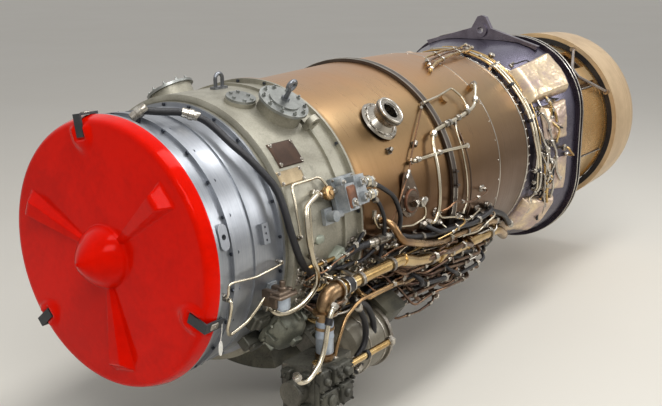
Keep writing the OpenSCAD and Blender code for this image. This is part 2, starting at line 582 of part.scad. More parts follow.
// Annular flame tube with air holes, and the burners that reach into its head
tube_out_r = burner_r - 24;
tube_in_r = hub_end_r + 4;
tube_x = comp_end_x + 80;
tube_mid_r = (tube_out_r + tube_in_r) / 2;
module flame_tube() color("#7f6a55") {
    difference() {
        union() {
            spun(sheet([[tube_x, tube_out_r - 14], [tube_x + 16, tube_out_r], [turb_x - 40, tube_out_r],
                [turb_x - fit, turbine_r - 1]], 2));
            spun(sheet([[tube_x, tube_in_r + 16], [tube_x + 16, tube_in_r + 2], [turb_x - 40, tube_in_r + 2],
                [turb_x - fit, turb_hub_r]], 2));
            spun([[tube_x, tube_in_r + 16], [tube_x, tube_out_r - 14], [tube_x + 2, tube_out_r - 14],
                [tube_x + 2, tube_in_r + 16]]);
        }
        around(burners, 180 / burners) translate([tube_x + 60, 0, tube_out_r - 8])
            cylinder(r = 7, h = 20, $fn = 24);
        around(burners) translate([tube_x - 4, 0, tube_mid_r]) rotate([0, 90, 0])
            cylinder(r = 11, h = 12, $fn = 24);
    }
    around(burners) {
        bar_x_at(tube_x - 14, tube_mid_r, 11 - fit, 24, 5);
        translate([tube_x - 10, 0, tube_mid_r + 4]) cylinder(r = 3.5, h = burner_r - 4 - fit - tube_mid_r - 4, $fn = 24);
    }
}
module bar_x_at(x, r0, r, len, bore) translate([x, 0, r0]) rotate([0, 90, 0]) difference() {
    cylinder(r = r, h = len, $fn = 24);
    translate([0, 0, 6]) cylinder(r = bore, h = len, $fn = 24);
}
high_rotor_x = turb_x + 34;
low_rotor_x = turb_x + 112;
disc_w = 30;
module turbine_casing() color("#8d7b66") {
    // Casing, two nozzle guide vane rings and the rear support
    spun([[turb_x, turbine_r], [turb_x, turbine_r + 26], [turb_x + flange_t, turbine_r + 26],
        [turb_x + flange_t, turbine_r + 8], [core_end_x, turbine_r + 12], [core_end_x, turbine_r + 8],
        [turb_end_x, turbine_r + 2], [turb_end_x - 10, turbine_r]]);
    for (x = [turb_x + 14, turb_x + 90]) {
        around(turbine_blades) vane(x, turb_hub_r - 1, turbine_r + 1, 20, 22, 3, 3);
        spun([[x - 13, turb_hub_r], [x - 13, turb_hub_r - 4], [x + 13, turb_hub_r - 4],
            [x + 13, turb_hub_r]]);
    }
    spun([[turb_end_x + 6, turb_hub_r], [turb_end_x + 6, turb_hub_r - 4],
        [core_end_x, turb_hub_r - 4], [core_end_x, turb_hub_r]]);
    spun([[turb_end_x + 30, turb_hub_r - 2], [turb_end_x + 34, turb_hub_r - 2],
        [turb_end_x + 34, bearing_r + 6], [turb_end_x + 42, bearing_r + 6],
        [turb_end_x + 42, bearing_r], [turb_end_x + 20, bearing_r],
        [turb_end_x + 20, bearing_r + 6], [turb_end_x + 30, bearing_r + 6]]);
    intersection() {
        around(8, 22.5) vane(turb_end_x + 82, turb_hub_r - 2, duct_r + 20, 60, 0, 0, 12);
        bar_x(turb_end_x, duct_r - duct_wall - fit, 200);
    }
}
module exhaust_cone() color("#7d6c5a") {
    spun(sheet([[core_end_x, turb_hub_r], [core_end_x + 60, turb_hub_r - 18],
        [core_end_x + 130, turb_hub_r - 66], [core_end_x + 176, 40], [core_end_x + 190, 12]], 4));
    // Core nozzle with its mixing lobes
    spun(sheet([[core_end_x, turbine_r + 12], [core_end_x + 50, turbine_r + 6]], 3));
    around(12) translate([core_end_x + 6, 0, turbine_r + 4]) rotate([0, 8, 0])
        translate([0, -13, 0]) cube([64, 26, 22]);
}
// Flame holder: three gutter rings on six arms that reach the duct wall
flame_x = rear_x + 230;
gutter = 26;
module flameholder() color("#6e5e50") {
    for (r = [110, 200, 285]) spun([[flame_x, r], [flame_x + gutter, r + gutter / 2],
        [flame_x + gutter, r + gutter / 2 - 3], [flame_x + 5, r], [flame_x + gutter, r - gutter / 2 + 3],
        [flame_x + gutter, r - gutter / 2]]);
    intersection() {
        around(6, 30) translate([flame_x - 4, -5, 104]) cube([16, 10, 300]);
        bar_x(flame_x - 20, duct_r - duct_wall - fit, 100);
    }
}
run_gap = 0.3;
module bearing_ring(x, bore) bar_x(x, bearing_r - fit, bearing_w, bore + run_gap);
module bearings() color("#c3c7cb") {
    bearing_ring(mid_x + 28, low_shaft_r);
    bearing_ring(mid_x + 54, high_shaft_r);
    bearing_ring(turb_x - 54, high_shaft_r);
    bearing_ring(turb_end_x + 24, low_shaft_r);
}

// Low-pressure spool
spin_x = -62;
module spinner() color("#4d5561") spun(concat(
    [for (a = [0 : 15 : 90]) [rotor_1_x - (rotor_1_x - spin_x) * sin(90 - a), (fan_hub_r - 2) * sin(a)]],
    [[rotor_1_x, fan_hub_r - 6]],
    [for (a = [75 : -15 : 0]) [rotor_1_x - (rotor_1_x - spin_x - 6) * sin(90 - a), (fan_hub_r - 8) * sin(a)]]));
module fan_disc(x, wide, r) {
    spun([[x, r - 14], [x, r], [x + wide, r + 6], [x + wide, r - 8]]);
    spun([[x + wide / 2 - 4, r - 8], [x + wide / 2 + 4, r - 8], [x + wide / 2 + 4, low_shaft_r + 14],
        [x + wide / 2 + 12, low_shaft_r + 14], [x + wide / 2 + 12, low_shaft_r + fit],
        [x + wide / 2 - 12, low_shaft_r + fit], [x + wide / 2 - 12, low_shaft_r + 14],
        [x + wide / 2 - 4, low_shaft_r + 14]]);
}
module fan_stage_1() color("#9299a1") {
    fan_disc(rotor_1_x, 58, fan_hub_r);
    around(fan_blades) twisted_blade(rotor_1_x + 29, fan_hub_r - 4, air_r - tip_gap, 50, 20, 58, 5, 6);
}
module fan_stage_2() color("#8a929b") {
    fan_disc(rotor_2_x, 34, hub_at(rotor_2_x));
    around(fan_blades_2) twisted_blade(rotor_2_x + 17, hub_at(rotor_2_x) - 2, air_r - tip_gap,
        30, 20, 52, 3, 4);
}
module low_shaft() color("#878c92") {
    bar_x(rotor_1_x + 4, low_shaft_r, turb_end_x + 44 - rotor_1_x - 4, low_shaft_r - 9);
    translate([mid_x - 18, 0, 0]) bar_x(0, low_shaft_r + 8, 12, low_shaft_r - 1);
}
module turbine_disc(x, bore_r) spun([[x, bore_r], [x, bore_r + 16], [x + 8, bore_r + 24],
    [x + 10, turb_hub_r - 22], [x, turb_hub_r - 12], [x, turb_hub_r], [x + disc_w, turb_hub_r],
    [x + disc_w, turb_hub_r - 12], [x + disc_w - 10, turb_hub_r - 22],
    [x + disc_w - 8, bore_r + 24], [x + disc_w, bore_r + 16], [x + disc_w, bore_r]]);
module turbine_wheel(x, bore_r) {
    turbine_disc(x, bore_r);
    around(turbine_blades) vane(x + disc_w / 2, turb_hub_r - 1, turbine_r - tip_gap, 20, -26, 4, 3);
}
module low_turbine() color("#8f7c62") turbine_wheel(low_rotor_x, low_shaft_r + fit);

// High-pressure spool
module high_compressor_rotor() color("#7f868d") {
    spun([[comp_x + 2, hub_front_r - 10], [comp_x + 2, hub_front_r], [comp_end_x - 2, hub_end_r],
        [comp_end_x - 2, hub_end_r - 10]]);
    spun([[comp_x + 16, high_shaft_r - 2], [comp_x + 24, high_shaft_r - 2], [comp_x + 44, hub_front_r - 4],
        [comp_x + 36, hub_front_r - 4]]);
    spun([[comp_end_x - 24, high_shaft_r - 2], [comp_end_x - 32, high_shaft_r - 2],
        [comp_end_x - 52, hub_end_r - 6], [comp_end_x - 44, hub_end_r - 6]]);
    bar_x(mid_x + 52, high_shaft_r, high_rotor_x + disc_w + 4 - mid_x - 52, low_shaft_r + shaft_gap);
    for (i = [0 : comp_stages - 1]) around(comp_blades) let (x = stage_x(i))
        vane(x, comp_hub(x) - 3, comp_case(x) - tip_gap, 18, -30, 2, 2.5);
}
module high_turbine() color("#94805f") turbine_wheel(high_rotor_x, high_shaft_r + fit);

// Rear fairing, lofted from the round duct rim to the seal frame's rounded square
function square_r(phi, half, corner) = let (c = half - corner, a = (phi % 90 + 90) % 90,
    b = min(a, 90 - a), straight = half / cos(b))
    straight * sin(b) <= c ? straight : c * (cos(b) + sin(b)) + sqrt(corner * corner - c * c * (1 - sin(2 * b)));
function smooth(f) = f * f * (3 - 2 * f);
function fairing_r(x, phi) = let (f = max(0, min(1, (x - tail_x) / fairing_len)))
    (rim_r + 2) * (1 - smooth(f)) + square_r(phi, seal_half - 14, seal_corner - 8) * smooth(f);
fairing_turns = 48;
fairing_rows = 5;
module fairing_form(less, past) {
    pts = [for (i = [0 : fairing_rows]) let (x = tail_x + fairing_len * i / fairing_rows,
        edge = i == 0 ? -past : i == fairing_rows ? past : 0)
        for (k = [0 : fairing_turns - 1]) let (a = 360 * k / fairing_turns)
        polar(x + edge, a, fairing_r(x, a) - less)];
    n = fairing_turns;
    polyhedron(pts, concat(
        [for (i = [0 : fairing_rows - 1], k = [0 : n - 1]) let (j = (k + 1) % n)
            each [[i * n + k, (i + 1) * n + j, i * n + j], [i * n + k, (i + 1) * n + k, (i + 1) * n + j]]],
        [[for (k = [0 : n - 1]) k]], [[for (k = [n - 1 : -1 : 0]) fairing_rows * n + k]]));
}
module rear_fairing() color("#7c7a86") translate([fit, 0, 0]) difference() {
    fairing_form(0, 0);
    fairing_form(hot_wall, 1);
}
// Seal frame: a channel of rounded-square outline with a bead along each edge
bead_r = 11;
frame_turns = 64;
function frame_outline(less) = [for (k = [0 : frame_turns - 1]) let (a = 360 * k / frame_turns,
    r = square_r(a, seal_half - less, seal_corner - less)) [-r * cos(a), -r * sin(a)]];
module seal_frame() color("#4a3f49") {
    translate([seal_x + 2 * fit, 0, 0]) rotate([0, 90, 0]) difference() {
        linear_extrude(seal_deep) polygon(frame_outline(9));
        translate([0, 0, -1]) linear_extrude(seal_deep + 2) polygon(frame_outline(24));
    }
    for (x = [seal_x + 13, seal_x + seal_deep - 12]) translate([x, 0, 0]) rotate([0, 90, 0]) {
        linear_extrude(bead_r * 1.6, center = true) difference() {
            polygon(frame_outline(2.5));
            polygon(frame_outline(12));
        }
        linear_extrude(bead_r, center = true) difference() {
            polygon(frame_outline(0));
            polygon(frame_outline(12));
        }
    }
}
// Rear mounting yoke across the top of the fairing, with a bored eye
lug_x = seal_x - 36;
lug_z = seal_half + 18;
lug_arm = 33;
// How far the fairing's flat facets lie inside its curve at the lug
facet_drop = 0.85;
function lug_end(s) = let (r = fairing_r(lug_x + 10, lug_arm) + 16) [-s * r * sin(lug_arm), r * cos(lug_arm)];
module rear_lug() color("#8a8291") difference() {
    union() {
        translate([lug_x - 10, 0, 0]) rotate([90, 0, 90]) linear_extrude(20) polygon(concat(
            [for (a = [-lug_arm, -30, -22.5, -15, -7.5, 0, 7.5, 15, 22.5, 30, lug_arm])
                let (r = fairing_r(lug_x + 10, a) - facet_drop + fit) [-r * sin(a), r * cos(a)]],
            [lug_end(1), [-40, lug_z + 8], [-16, lug_z + 50], [0, lug_z + 55],
             [16, lug_z + 50], [40, lug_z + 8], lug_end(-1)]));
        translate([0, 0, lug_z]) bar_x(lug_x - lug_wide / 2, lug_bore_r + 14, lug_wide);
    }
    translate([0, 0, lug_z]) bar_x(lug_x - lug_wide, lug_bore_r, 2 * lug_wide);
}
// Foil-wrapped units lying on the fairing
function foil_at(f, g, x0, x1, a0, a1, base, high) = let (x = x0 + (x1 - x0) * f, a = a0 + (a1 - a0) * g)
    polar(x, a, fairing_r(x, a) + base + high);
module foil_unit(x0, x1, a0, a1, high, rows = 4) {
    n = rows + 1;
    low = [for (i = [0 : rows], j = [0 : rows]) foil_at(i / rows, j / rows, x0, x1, a0, a1, 2, 0)];
    top = [for (i = [0 : rows], j = [0 : rows]) let (f = i / rows, g = j / rows,
        rim = (i == 0 || i == rows || j == 0 || j == rows) ? 0.7 : 1, lean = 1 - 0.35 * f)
        foil_at(0.04 + 0.92 * f, 0.06 + 0.88 * g, x0, x1, a0, a1, 2, high * rim * lean)];
    m = n * n;
    loop = concat([for (j = [0 : rows - 1]) j], [for (i = [0 : rows - 1]) i * n + rows],
        [for (j = [rows : -1 : 1]) rows * n + j], [for (i = [rows : -1 : 1]) i * n]);
    polyhedron(concat(low, top), concat(
        [for (i = [0 : rows - 1], j = [0 : rows - 1]) let (a = i * n + j)
            each [[a, a + 1, a + n + 1], [a, a + n + 1, a + n],
                [m + a, m + a + n + 1, m + a + 1], [m + a, m + a + n, m + a + n + 1]]],
        [for (k = [0 : len(loop) - 1]) let (a = loop[k], b = loop[(k + 1) % len(loop)])
            each [[a, m + b, b], [a, m + a, m + b]]]));
}
module foil_boxes() color("#b9a894") {
    foil_unit(tail_x + 34, tail_x + 250, 38, 60, 58);
    foil_unit(tail_x + 26, tail_x + 200, 116, 142, 34);
    foil_unit(tail_x + 34, tail_x + 220, -62, -40, 48);
}

// Jet pipe with the ring that carries the petals' hinges, and its blankets
hinge_x = sleeve_x + 28;
hinge_r = jet_r + 6;
function jet_at(x) = lookup(x, [[tail_x + 60, 301], [hinge_x - 14, jet_r + hot_wall]]);
half_turn = 180 / petals;
knuckle_r = 7;
lug_out = 66;
lug_in = 58;
module jet_pipe() color("#6b5a4c") {
    spun(sheet([[tail_x - 12, rim_r - duct_wall - fit], [tail_x + 8, rim_r - duct_wall - fit],
        [tail_x + 60, jet_at(tail_x + 60)], [hinge_x - 14, jet_r + hot_wall], [hinge_x - 8, jet_r + hot_wall]],
        hot_wall));
    difference() {
        rotate([half_turn, 0, 0]) translate([hinge_x - 20, 0, 0]) rotate([0, 90, 0])
            cylinder(r = (jet_r + 8) / cos(half_turn), h = 8, $fn = petals);
        bar_x(hinge_x - 30, jet_r + 1, 30);
    }
    around(petals) for (s = [-1, 1]) {
        translate([hinge_x - 18, s * (lug_in + lug_out) / 2 - 4, hinge_r - 6]) cube([18, 8, 12]);
        translate([hinge_x, s * lug_out, hinge_r]) rotate([90 * s, 0, 0])
            cylinder(r = knuckle_r - 1, h = lug_out - lug_in, $fn = 32);
        translate([hinge_x, s * lug_out, hinge_r]) rotate([90 * s, 0, 0])
            cylinder(r = hinge_pin_r, h = lug_out - 28, $fn = 32);
    }
}
blanket_r = jet_r + 27;
blanket_x = seal_x + seal_deep + 8;
module blanket(a0, a1, r) {
    spun_part([[blanket_x, jet_at(blanket_x) + fit], [blanket_x, r - 4], [blanket_x + 6, r],
        [sleeve_x - 12, r], [sleeve_x - 6, r - 4], [sleeve_x - 6, jet_at(sleeve_x - 6) + fit]], a0, a1);
}
module jet_blanket() color("#c9a877") {
    blanket(-24, 24, blanket_r + 2);
    for (s = [-1, 1]) {
        if (s > 0) { blanket(58, 108, blanket_r); blanket(109, 166, blanket_r - 4); }
        else { blanket(-108, -58, blanket_r); blanket(-166, -109, blanket_r - 4); }
        spun_part([[sleeve_x - 120, jet_at(sleeve_x - 120) + fit], [sleeve_x - 120, blanket_r + 2],
            [sleeve_x - 10, blanket_r + 2], [sleeve_x - 10, jet_at(sleeve_x - 10) + fit]],
            s > 0 ? 42 : -54, s > 0 ? 54 : -42);
    }
}

// Rams that slide the sleeve, each with a crosshead and two push rods
ram_r = jet_r + 48;
ram_turns = [47, -47, 180];
rod_r = 7;
ram_bore = rod_r + 0.4;
ram_foot_x = seal_x + seal_deep + 4;
module ram_cylinders() color("#6f6a72") for (a = ram_turns) rotate([a, 0, 0]) {
    translate([0, 0, ram_r]) bar_x(seal_x + seal_deep + 4, 14, 150, ram_bore);
    translate([0, 0, ram_r]) bar_x(seal_x + seal_deep + 140, 18, 14, ram_bore);
    spun_part([[ram_foot_x, jet_at(ram_foot_x) + fit], [ram_foot_x, ram_r - 10],
        [ram_foot_x + 26, ram_r - 10], [ram_foot_x + 26, jet_at(ram_foot_x + 26) + fit]], -3, 3);
}
rod_spread = 19;
cross_x = sleeve_x - 200;
module nozzle_rods() color("#a09aa2") for (a = ram_turns) {
    rotate([a, 0, 0]) {
        translate([0, 0, ram_r]) bar_x(cross_x - 150, rod_r, 150);
        translate([cross_x - 2, -22, ram_r - 8]) cube([14, 44, 16]);
    }
    for (s = [-1, 1]) {
        tube([polar(cross_x + 6, a + s * 2.6, ram_r), polar(sleeve_x - 5, a + s * rod_spread, ram_r + 6)],
            rod_r, 10);
        rotate([a + s * rod_spread, 0, 0]) translate([0, 0, ram_r + 6]) bar_x(sleeve_x - 16, 11, 16 - fit);
    }
}

// Sleeve round the nozzle: skin, two rings and a cam over each petal's roller
skin_wall = 3;
roller_u = 110;
roller_v = 30;
roller_r = 9;
roll_gap = 0.6;
cam_w = 10;
petal_open = 1;
open_turn = petal_closed - petal_open;
function petal_angle(s) = petal_closed - open_turn * s / sleeve_travel;
function roller_at(s) = let (a = petal_angle(s)) [hinge_x + roller_u * cos(a) + roller_v * sin(a) + s,
    hinge_r - roller_u * sin(a) + roller_v * cos(a)];
function roller_way(s) = unit(roller_at(s + 1) - roller_at(s - 1));
function cam_point(s) = roller_at(s) + (roller_r + roll_gap) * [-roller_way(s)[1], roller_way(s)[0]];
module nozzle_sleeve() color("#d9c3a3") {
    spun(sheet([[sleeve_x, sleeve_r], [sleeve_x + 8, sleeve_r + 0.4], [engine_end - 6, sleeve_end_r + 0.4],
        [engine_end, sleeve_end_r - 2]], skin_wall));
    spun([[sleeve_x, sleeve_r], [sleeve_x, sleeve_r - 24],
        [sleeve_x + 4, sleeve_r - 24], [sleeve_x + 4, sleeve_r]]);
    spun([[engine_end - 4, sleeve_end_r - 3], [engine_end - 4, sleeve_end_r - 16],
        [engine_end, sleeve_end_r - 16], [engine_end, sleeve_end_r - 3]]);
    around(petals) translate([0, cam_w / 2, 0]) rotate([90, 0, 0]) linear_extrude(cam_w) polygon(concat(
        [for (s = [-8 : 4 : sleeve_travel + 8]) cam_point(s)],
        [[cam_point(sleeve_travel + 8)[0], sleeve_end_r - 1], [cam_point(-8)[0], sleeve_r - 5]]));
}
// A petal: plate on its hinge, strip that covers the joint, and roller
apothem_loss = sin(petal_closed);
function petal_half(u) = (hinge_r - u * apothem_loss - petal_t / 2) * tan(half_turn) - 0.5;
function corner_point(u, s, d) = [u, petal_half(u) + 0.5 + s * cos(half_turn) + d * sin(half_turn),
    -petal_t / 2 - s * sin(half_turn) + d * cos(half_turn)];
module corner_strip(u0, u1, s0, s1, d0, d1) polyhedron(
    [for (u = [u0, u1], d = [d0, d1], s = [s0, s1]) corner_point(u, s, d)],
    [[0, 1, 3, 2], [4, 6, 7, 5], [0, 4, 5, 1], [2, 3, 7, 6], [0, 2, 6, 4], [1, 5, 7, 3]]);
module petal() color("#8f8172") {
    translate([0, 0, -petal_t / 2]) linear_extrude(petal_t)
        polygon([[8, -petal_half(8)], [8, petal_half(8)],
            [petal_len, petal_half(petal_len)], [petal_len, -petal_half(petal_len)]]);
    difference() {
        union() for (s = [-1, 1]) {
            translate([0, s * 43, 0]) rotate([90, 0, 0]) cylinder(r = knuckle_r, h = 26, center = true, $fn = 32);
            translate([0, s * 43 - 13, -petal_t / 2]) cube([16, 26, petal_t + 1]);
        }
        rotate([90, 0, 0]) cylinder(r = hinge_pin_r + hinge_play, h = 140, center = true, $fn = 32);
    }
    corner_strip(14, petal_len - 2, -16, 20, 4.5, 7);
    corner_strip(14, petal_len - 2, -14, -9, -1.5, 5.5);
    for (s = [-1, 1]) translate([0, s * 9.5 + 2, 0]) rotate([90, 0, 0]) linear_extrude(4)
        polygon([[roller_u - 22, 0], [roller_u + 22, 0],
            [roller_u + 8, roller_v + 4], [roller_u - 8, roller_v + 4]]);
    translate([roller_u, 0, roller_v]) rotate([90, 0, 0]) cylinder(r = roller_r, h = 16, center = true);
}
module petal_at(k) rotate([360 * (k - 1) / petals, 0, 0]) translate([hinge_x, 0, hinge_r])
    rotate([0, petal_closed, 0]) petal();

// Units on the outside
module valve_block() color("#8b98a0") {
    // Valve body on the intermediate casing, with two electrical connectors at its rear
    at(cone_x - 66, 73.5, mid_r + 7 + fit) {
        translate([-50, -46, 0]) cube([96, 92, 12]);
        translate([-44, -40, 12]) cube([40, 66, 34]);
        translate([-2, -34, 12]) cube([44, 74, 34]);
        for (q = [[-24, -24, 52], [20, 22, 58], [20, -16, 60]])
            translate([q[0], q[1], 10]) cylinder(r = 13, h = q[2] - 10);
        translate([-30, 32, 12]) cylinder(r = 10, h = 22);
        for (q = [-18, 16]) translate([40, q, 34]) rotate([0, 90, 0]) {
            cylinder(r = 11, h = 22);
            translate([0, 0, 22]) cylinder(r = 14, h = 12);
            translate([0, 0, 34]) cylinder(r = 9, h = 18);
        }
    }
    // Small valve on the fan casing
    at(can_x, can_phi, fan_r + fit) {
        translate([-15, -15, 0]) cube([30, 30, 6]);
        cylinder(r = can_r, h = 36);
        cylinder(r = 5, h = 47);
    }
    // Pressure switch ahead of it
    at(cone_x - 140, 80, mid_r + 0.2) {
        translate([-16, -20, 0]) cube([32, 40, 10]);
        cylinder(r = 14, h = 34);
        translate([0, 0, 22]) rotate([0, 90, 0]) cylinder(r = 10, h = 34);
    }
}
hose_r = 9;
union_x = cone_x + 52;
union_r = mid_r + 31;
module black_hose() color("#26262b") pipe([[fan_x - 24, 10, fan_r - 3 + fit], [fan_x - 24, 10, flange_r + 16],
    [fan_x + 20, 15, flange_r + 15], [fan_x + 72, 17, flange_r + 13], [fan_x + 102, 24, flange_r + 12],
    [fan_x + 106, 40, flange_r + 12], [mid_x - 32, 55, mid_r + 1], [mid_x - 14, 63, mid_r + 6],
    [mid_x - 8, 80, mid_r + 8], [mid_x + 10, 90, mid_r + 11], [mid_x + 44, 98, mid_r + 13],
    [mid_x + 84, 103, mid_r + 14], [mid_x + 150, 101, mid_r + 14], [mid_x + 220, 98, mid_r + 15],
    [mid_x + 262, 96, mid_r + 26], [cone_x + 24, 96, union_r], [union_x, 96, union_r]], hose_r, 10, 26);
elbow_x = mid_x + 34;
elbow_bend = 30;
leg_r = 20;
leg_len = 130;
gold_r = 15;
gold_bend = 34;
gold_line_r = mid_r + 82;
gold_way = [[elbow_x + elbow_bend + 26, 103, gold_line_r], [cone_x - 8, 103, gold_line_r],
        [cone_x + 92, 103, gold_line_r], [cone_x + 195, 108, duct_r + 60], [cone_x + 383, 114, duct_r + 50],
        [rear_x - 9, 115, duct_r + 46], [rear_x + 177, 117, duct_r + 38], [rear_x + 332, 119, duct_r + 36],
        [rear_x + 430, 126, duct_r + 36], [rear_x + 470, 130, duct_r + 34],
        [rear_x + 470, 130, skin_at(rear_x + 470) + boss_high + fit]];
module gold_pipe() color("#c79a55") pipe(gold_way, gold_r, 12, gold_bend);
// Elbow that turns the main pipe down into the air valve, with its vertical leg
leg_foot_z = polar(elbow_x, 103, gold_line_r)[2] - elbow_bend - leg_len;
module air_elbow() color("#8f6d45") {
    c = polar(elbow_x, 103, gold_line_r);
    translate(c) {
        translate([elbow_bend, 0, -elbow_bend]) rotate([90, 0, 0]) rotate([0, 0, 90])
            rotate_extrude(angle = 90) translate([elbow_bend, 0]) difference() {
                circle(r = leg_r);
                circle(r = leg_r - 3);
            }
        translate([elbow_bend, 0, 0]) rotate([0, 90, 0]) difference() {
            cylinder(r = leg_r, h = 24);
            translate([0, 0, -1]) cylinder(r = gold_r + 2, h = 26);
        }
        translate([elbow_bend + 18, 0, 0]) rotate([0, 90, 0]) difference() {
            cylinder(r = leg_r + 5, h = 10);
            translate([0, 0, -1]) cylinder(r = gold_r + fit, h = 12);
        }
        translate([0, 0, -elbow_bend - 14]) difference() {
            cylinder(r = leg_r + 10, h = 6);
            translate([0, 0, -1]) cylinder(r = leg_r - 3, h = 8);
        }
        translate([0, 0, -elbow_bend - leg_len]) difference() {
            cylinder(r = leg_r, h = leg_len);
            translate([0, 0, -1]) cylinder(r = leg_r - 3, h = leg_len + 2);
        }
        for (z = [52, leg_len - 8]) translate([0, 0, -elbow_bend - z]) difference() {
            cylinder(r = leg_r + 4, h = 7);
            translate([0, 0, -1]) cylinder(r = leg_r - 1, h = 9);
        }
    }
}
oil_r = 10;
hose_bend = 30;
oil_way = [[cone_x + 71, 89, foot_at(cone_x + 71, oil_r)], [cone_x + 71, 89, duct_r + 34],
    [cone_x + 84, 96, duct_r + 62], [cone_x + 222, 102, duct_r + 56], [cone_x + 392, 109, duct_r + 32],
    [rear_x - 8, 109, duct_r + 30], [rear_x + 138, 111, duct_r + 28], [rear_x + 255, 112, duct_r + 26],
    [rear_x + 300, 114, duct_r + 26], [rear_x + 300, 114, skin_at(rear_x + 300) + boss_high + fit]];
module oil_pipes() color("#b98f52") {
    pipe(oil_way, oil_r, 10, hose_bend);
    pipe([[cone_x + 40, 121, foot_at(cone_x + 40, oil_r)], [cone_x + 40, 121, duct_r + 38],
        [cone_x + 80, 120, duct_r + 40], [cone_x + 200, 120, duct_r + 40], [cone_x + 250, 124, duct_r + 38],
        [hoop_x, 124, duct_r + 30], [rear_x + 240, 126, duct_r + 24], [rear_x + 410, 132, duct_r + 20],
        [rear_x + 436, 134, duct_r + 20], [rear_x + 436, 134, skin_at(rear_x + 436) + boss_high + fit]],
        oil_r - 2, 8, 26);
}
feed_r = 7;
can_x = mid_x - 36;
can_phi = 104;
can_r = 13;
module fuel_pipes() color("#c4bba8") {
    pipe([[mid_x + 110, 70, mid_r + fit], [mid_x + 110, 70, mid_r + 24], [mid_x + 60, 72, mid_r + 28],
        [mid_x + 32, 74, mid_r + 32], [mid_x + 26, 84, mid_r + 32], [mid_x + 36, 92, mid_r + 34],
        [mid_x + 60, 98, mid_r + 37], [mid_x + 62, 104, mid_r + 38], [mid_x + 20, 110, mid_r + 36],
        [mid_x - 20, 112, mid_r + 28], [mid_x - 44, 112, mid_r + 16], [mid_x - 44, 112, fan_r + fit]],
        feed_r, 10, 24);
    pipe([[mid_x + 20, 84, mid_r + fit], [mid_x + 20, 84, mid_r + 14], [mid_x + 20, 74, mid_r + 14],
        [mid_x + 30, 64, mid_r + 14], [mid_x + 140, 64, mid_r + 16], [cone_x - 130, 71, mid_r + 26],
        [cone_x - 110 - fit, 71, mid_r + 27]], 3.5, 6, 14);
    pipe([[fan_x - 42, 98, fan_r - 3 + fit], [fan_x - 42, 98, flange_r + 9], [fan_x - 44, 93, flange_r + 9],
        [fan_x - 30, 92.5, flange_r + 9], [fan_x + 50, 94, flange_r + 10], [fan_x + 110, 93, flange_r + 12],
        [mid_x - 22, 92.5, flange_r + 10], [mid_x - 22, 92.5, fan_r + fit]], 3, 6, 12);
    pipe([[fan_x - 30, 100, fan_r - 3 + fit], [fan_x - 30, 100, flange_r + 10], [fan_x - 28, 112, flange_r + 12],
        [fan_x - 10, 117, flange_r + 12], [fan_x + 40, 113, flange_r + 14], [fan_x + 84, 104, flange_r + 14],
        [can_x - can_r - fit, can_phi, flange_r + 12]], 4, 6, 14);
}
white_r = 6;
white_bend = 26;
thin_r = 2.5;
thin_bend = 10;
line_r = duct_r + 17;
white_way = [[rear_x + 291, 43, duct_r + boss_high + fit], [rear_x + 291, 43, line_r + 10],
    [rear_x + 213, 54, line_r], [rear_x + 100, 57, line_r], [hoop_x + 27, 58.5, line_r],
    [cone_x + 401, 60, line_r], [cone_x + 366, 66, line_r], [cone_x + 360, 80, line_r],
    [cone_x + 356, 94, line_r], [cone_x + 330, 99, line_r + 4],
    [cone_x + 330, 99, foot_at(cone_x + 330, white_r)]];
thin_way = [[hoop_x - 26, 50, foot_at(hoop_x - 26, 3)], [hoop_x - 26, 50, duct_r + 8],
    [cone_x + 345, 58, duct_r + 4], [cone_x + 270, 68, duct_r + 1], [cone_x + 240, 58, mid_r + 16],
    [cone_x + 142, 66, mid_r + 13], [cone_x + 90, 84, mid_r + 14], [cone_x + 34, 90, mid_r + 16],
    [cone_x + 34, 90, foot_at(cone_x + 34, 3)]];
module sense_pipes() color("#d3cbb9") {
    pipe(white_way, white_r, 8, white_bend);
    pipe([[cone_x + 262, 69.5, foot_at(cone_x + 262, 5)], [cone_x + 262, 69.5, line_r],
        [cone_x + 420, 69.5, line_r], [rear_x + 82, 70.5, line_r], [rear_x + 82, 70.5, duct_r + fit]],
        5, 8, 14);
    pipe([[rear_x + 62, 58, line_r - 1], [rear_x + 54, 64, line_r - 8], [rear_x + 58, 76, line_r - 10],
        [rear_x + 66, 88, line_r - 11], [rear_x + 66, 97, line_r - 8], [rear_x + 44, 101, line_r - 4],
        [rear_x + 44, 101, duct_r + fit]], 3, 6, 12);
    pipe([[hoop_x - 14, 46, skin_at(hoop_x - 14) + fit], [hoop_x - 14, 46, line_r - 1],
        [rear_x + 60, 44.5, line_r - 1], [rear_x + 160, 42, line_r - 1], [rear_x + 178, 48, line_r - 1],
        [rear_x + 170, 55, line_r - 1]], 3.5, 6, 10);
    pipe(thin_way, thin_r, 6, thin_bend);
    // Line on the rear fairing
    pipe([[tail_x + 10, 31, fairing_r(tail_x + 10, 31) + 8 * fit], [tail_x + 10, 31, duct_r + 2],
        [tail_x + 20, 46, duct_r - 6], [tail_x + 26, 66, duct_r - 8], [tail_x + 24, 78, duct_r - 6],
        [tail_x + 40, 90, duct_r - 4], [tail_x + 60, 102, duct_r - 2], [tail_x + 80, 110, duct_r + 4],
        [tail_x + 80, 110, fairing_r(tail_x + 80, 110) + 1.8]], white_r, 8, 20);
}
belly_way = [[union_x + 1, 96, union_r], [cone_x + 110, 96, union_r], [cone_x + 210, 101, duct_r + 20],
    [cone_x + 330, 104.5, duct_r + 20], [hoop_x, 105.5, duct_r + 20], [rear_x + 102, 106, duct_r + 18],
    [rear_x + 250, 107, duct_r + 18], [rear_x + 350, 112, duct_r + 22], [rear_x + 420, 119, duct_r + 28],
    [rear_x + 474, 123, duct_r + 24], [rear_x + 474, 123, skin_at(rear_x + 474) + boss_high + fit]];
module belly_hoses() color("#2b2a2c") {
    pipe(belly_way, hose_r, 8, hose_bend);
}
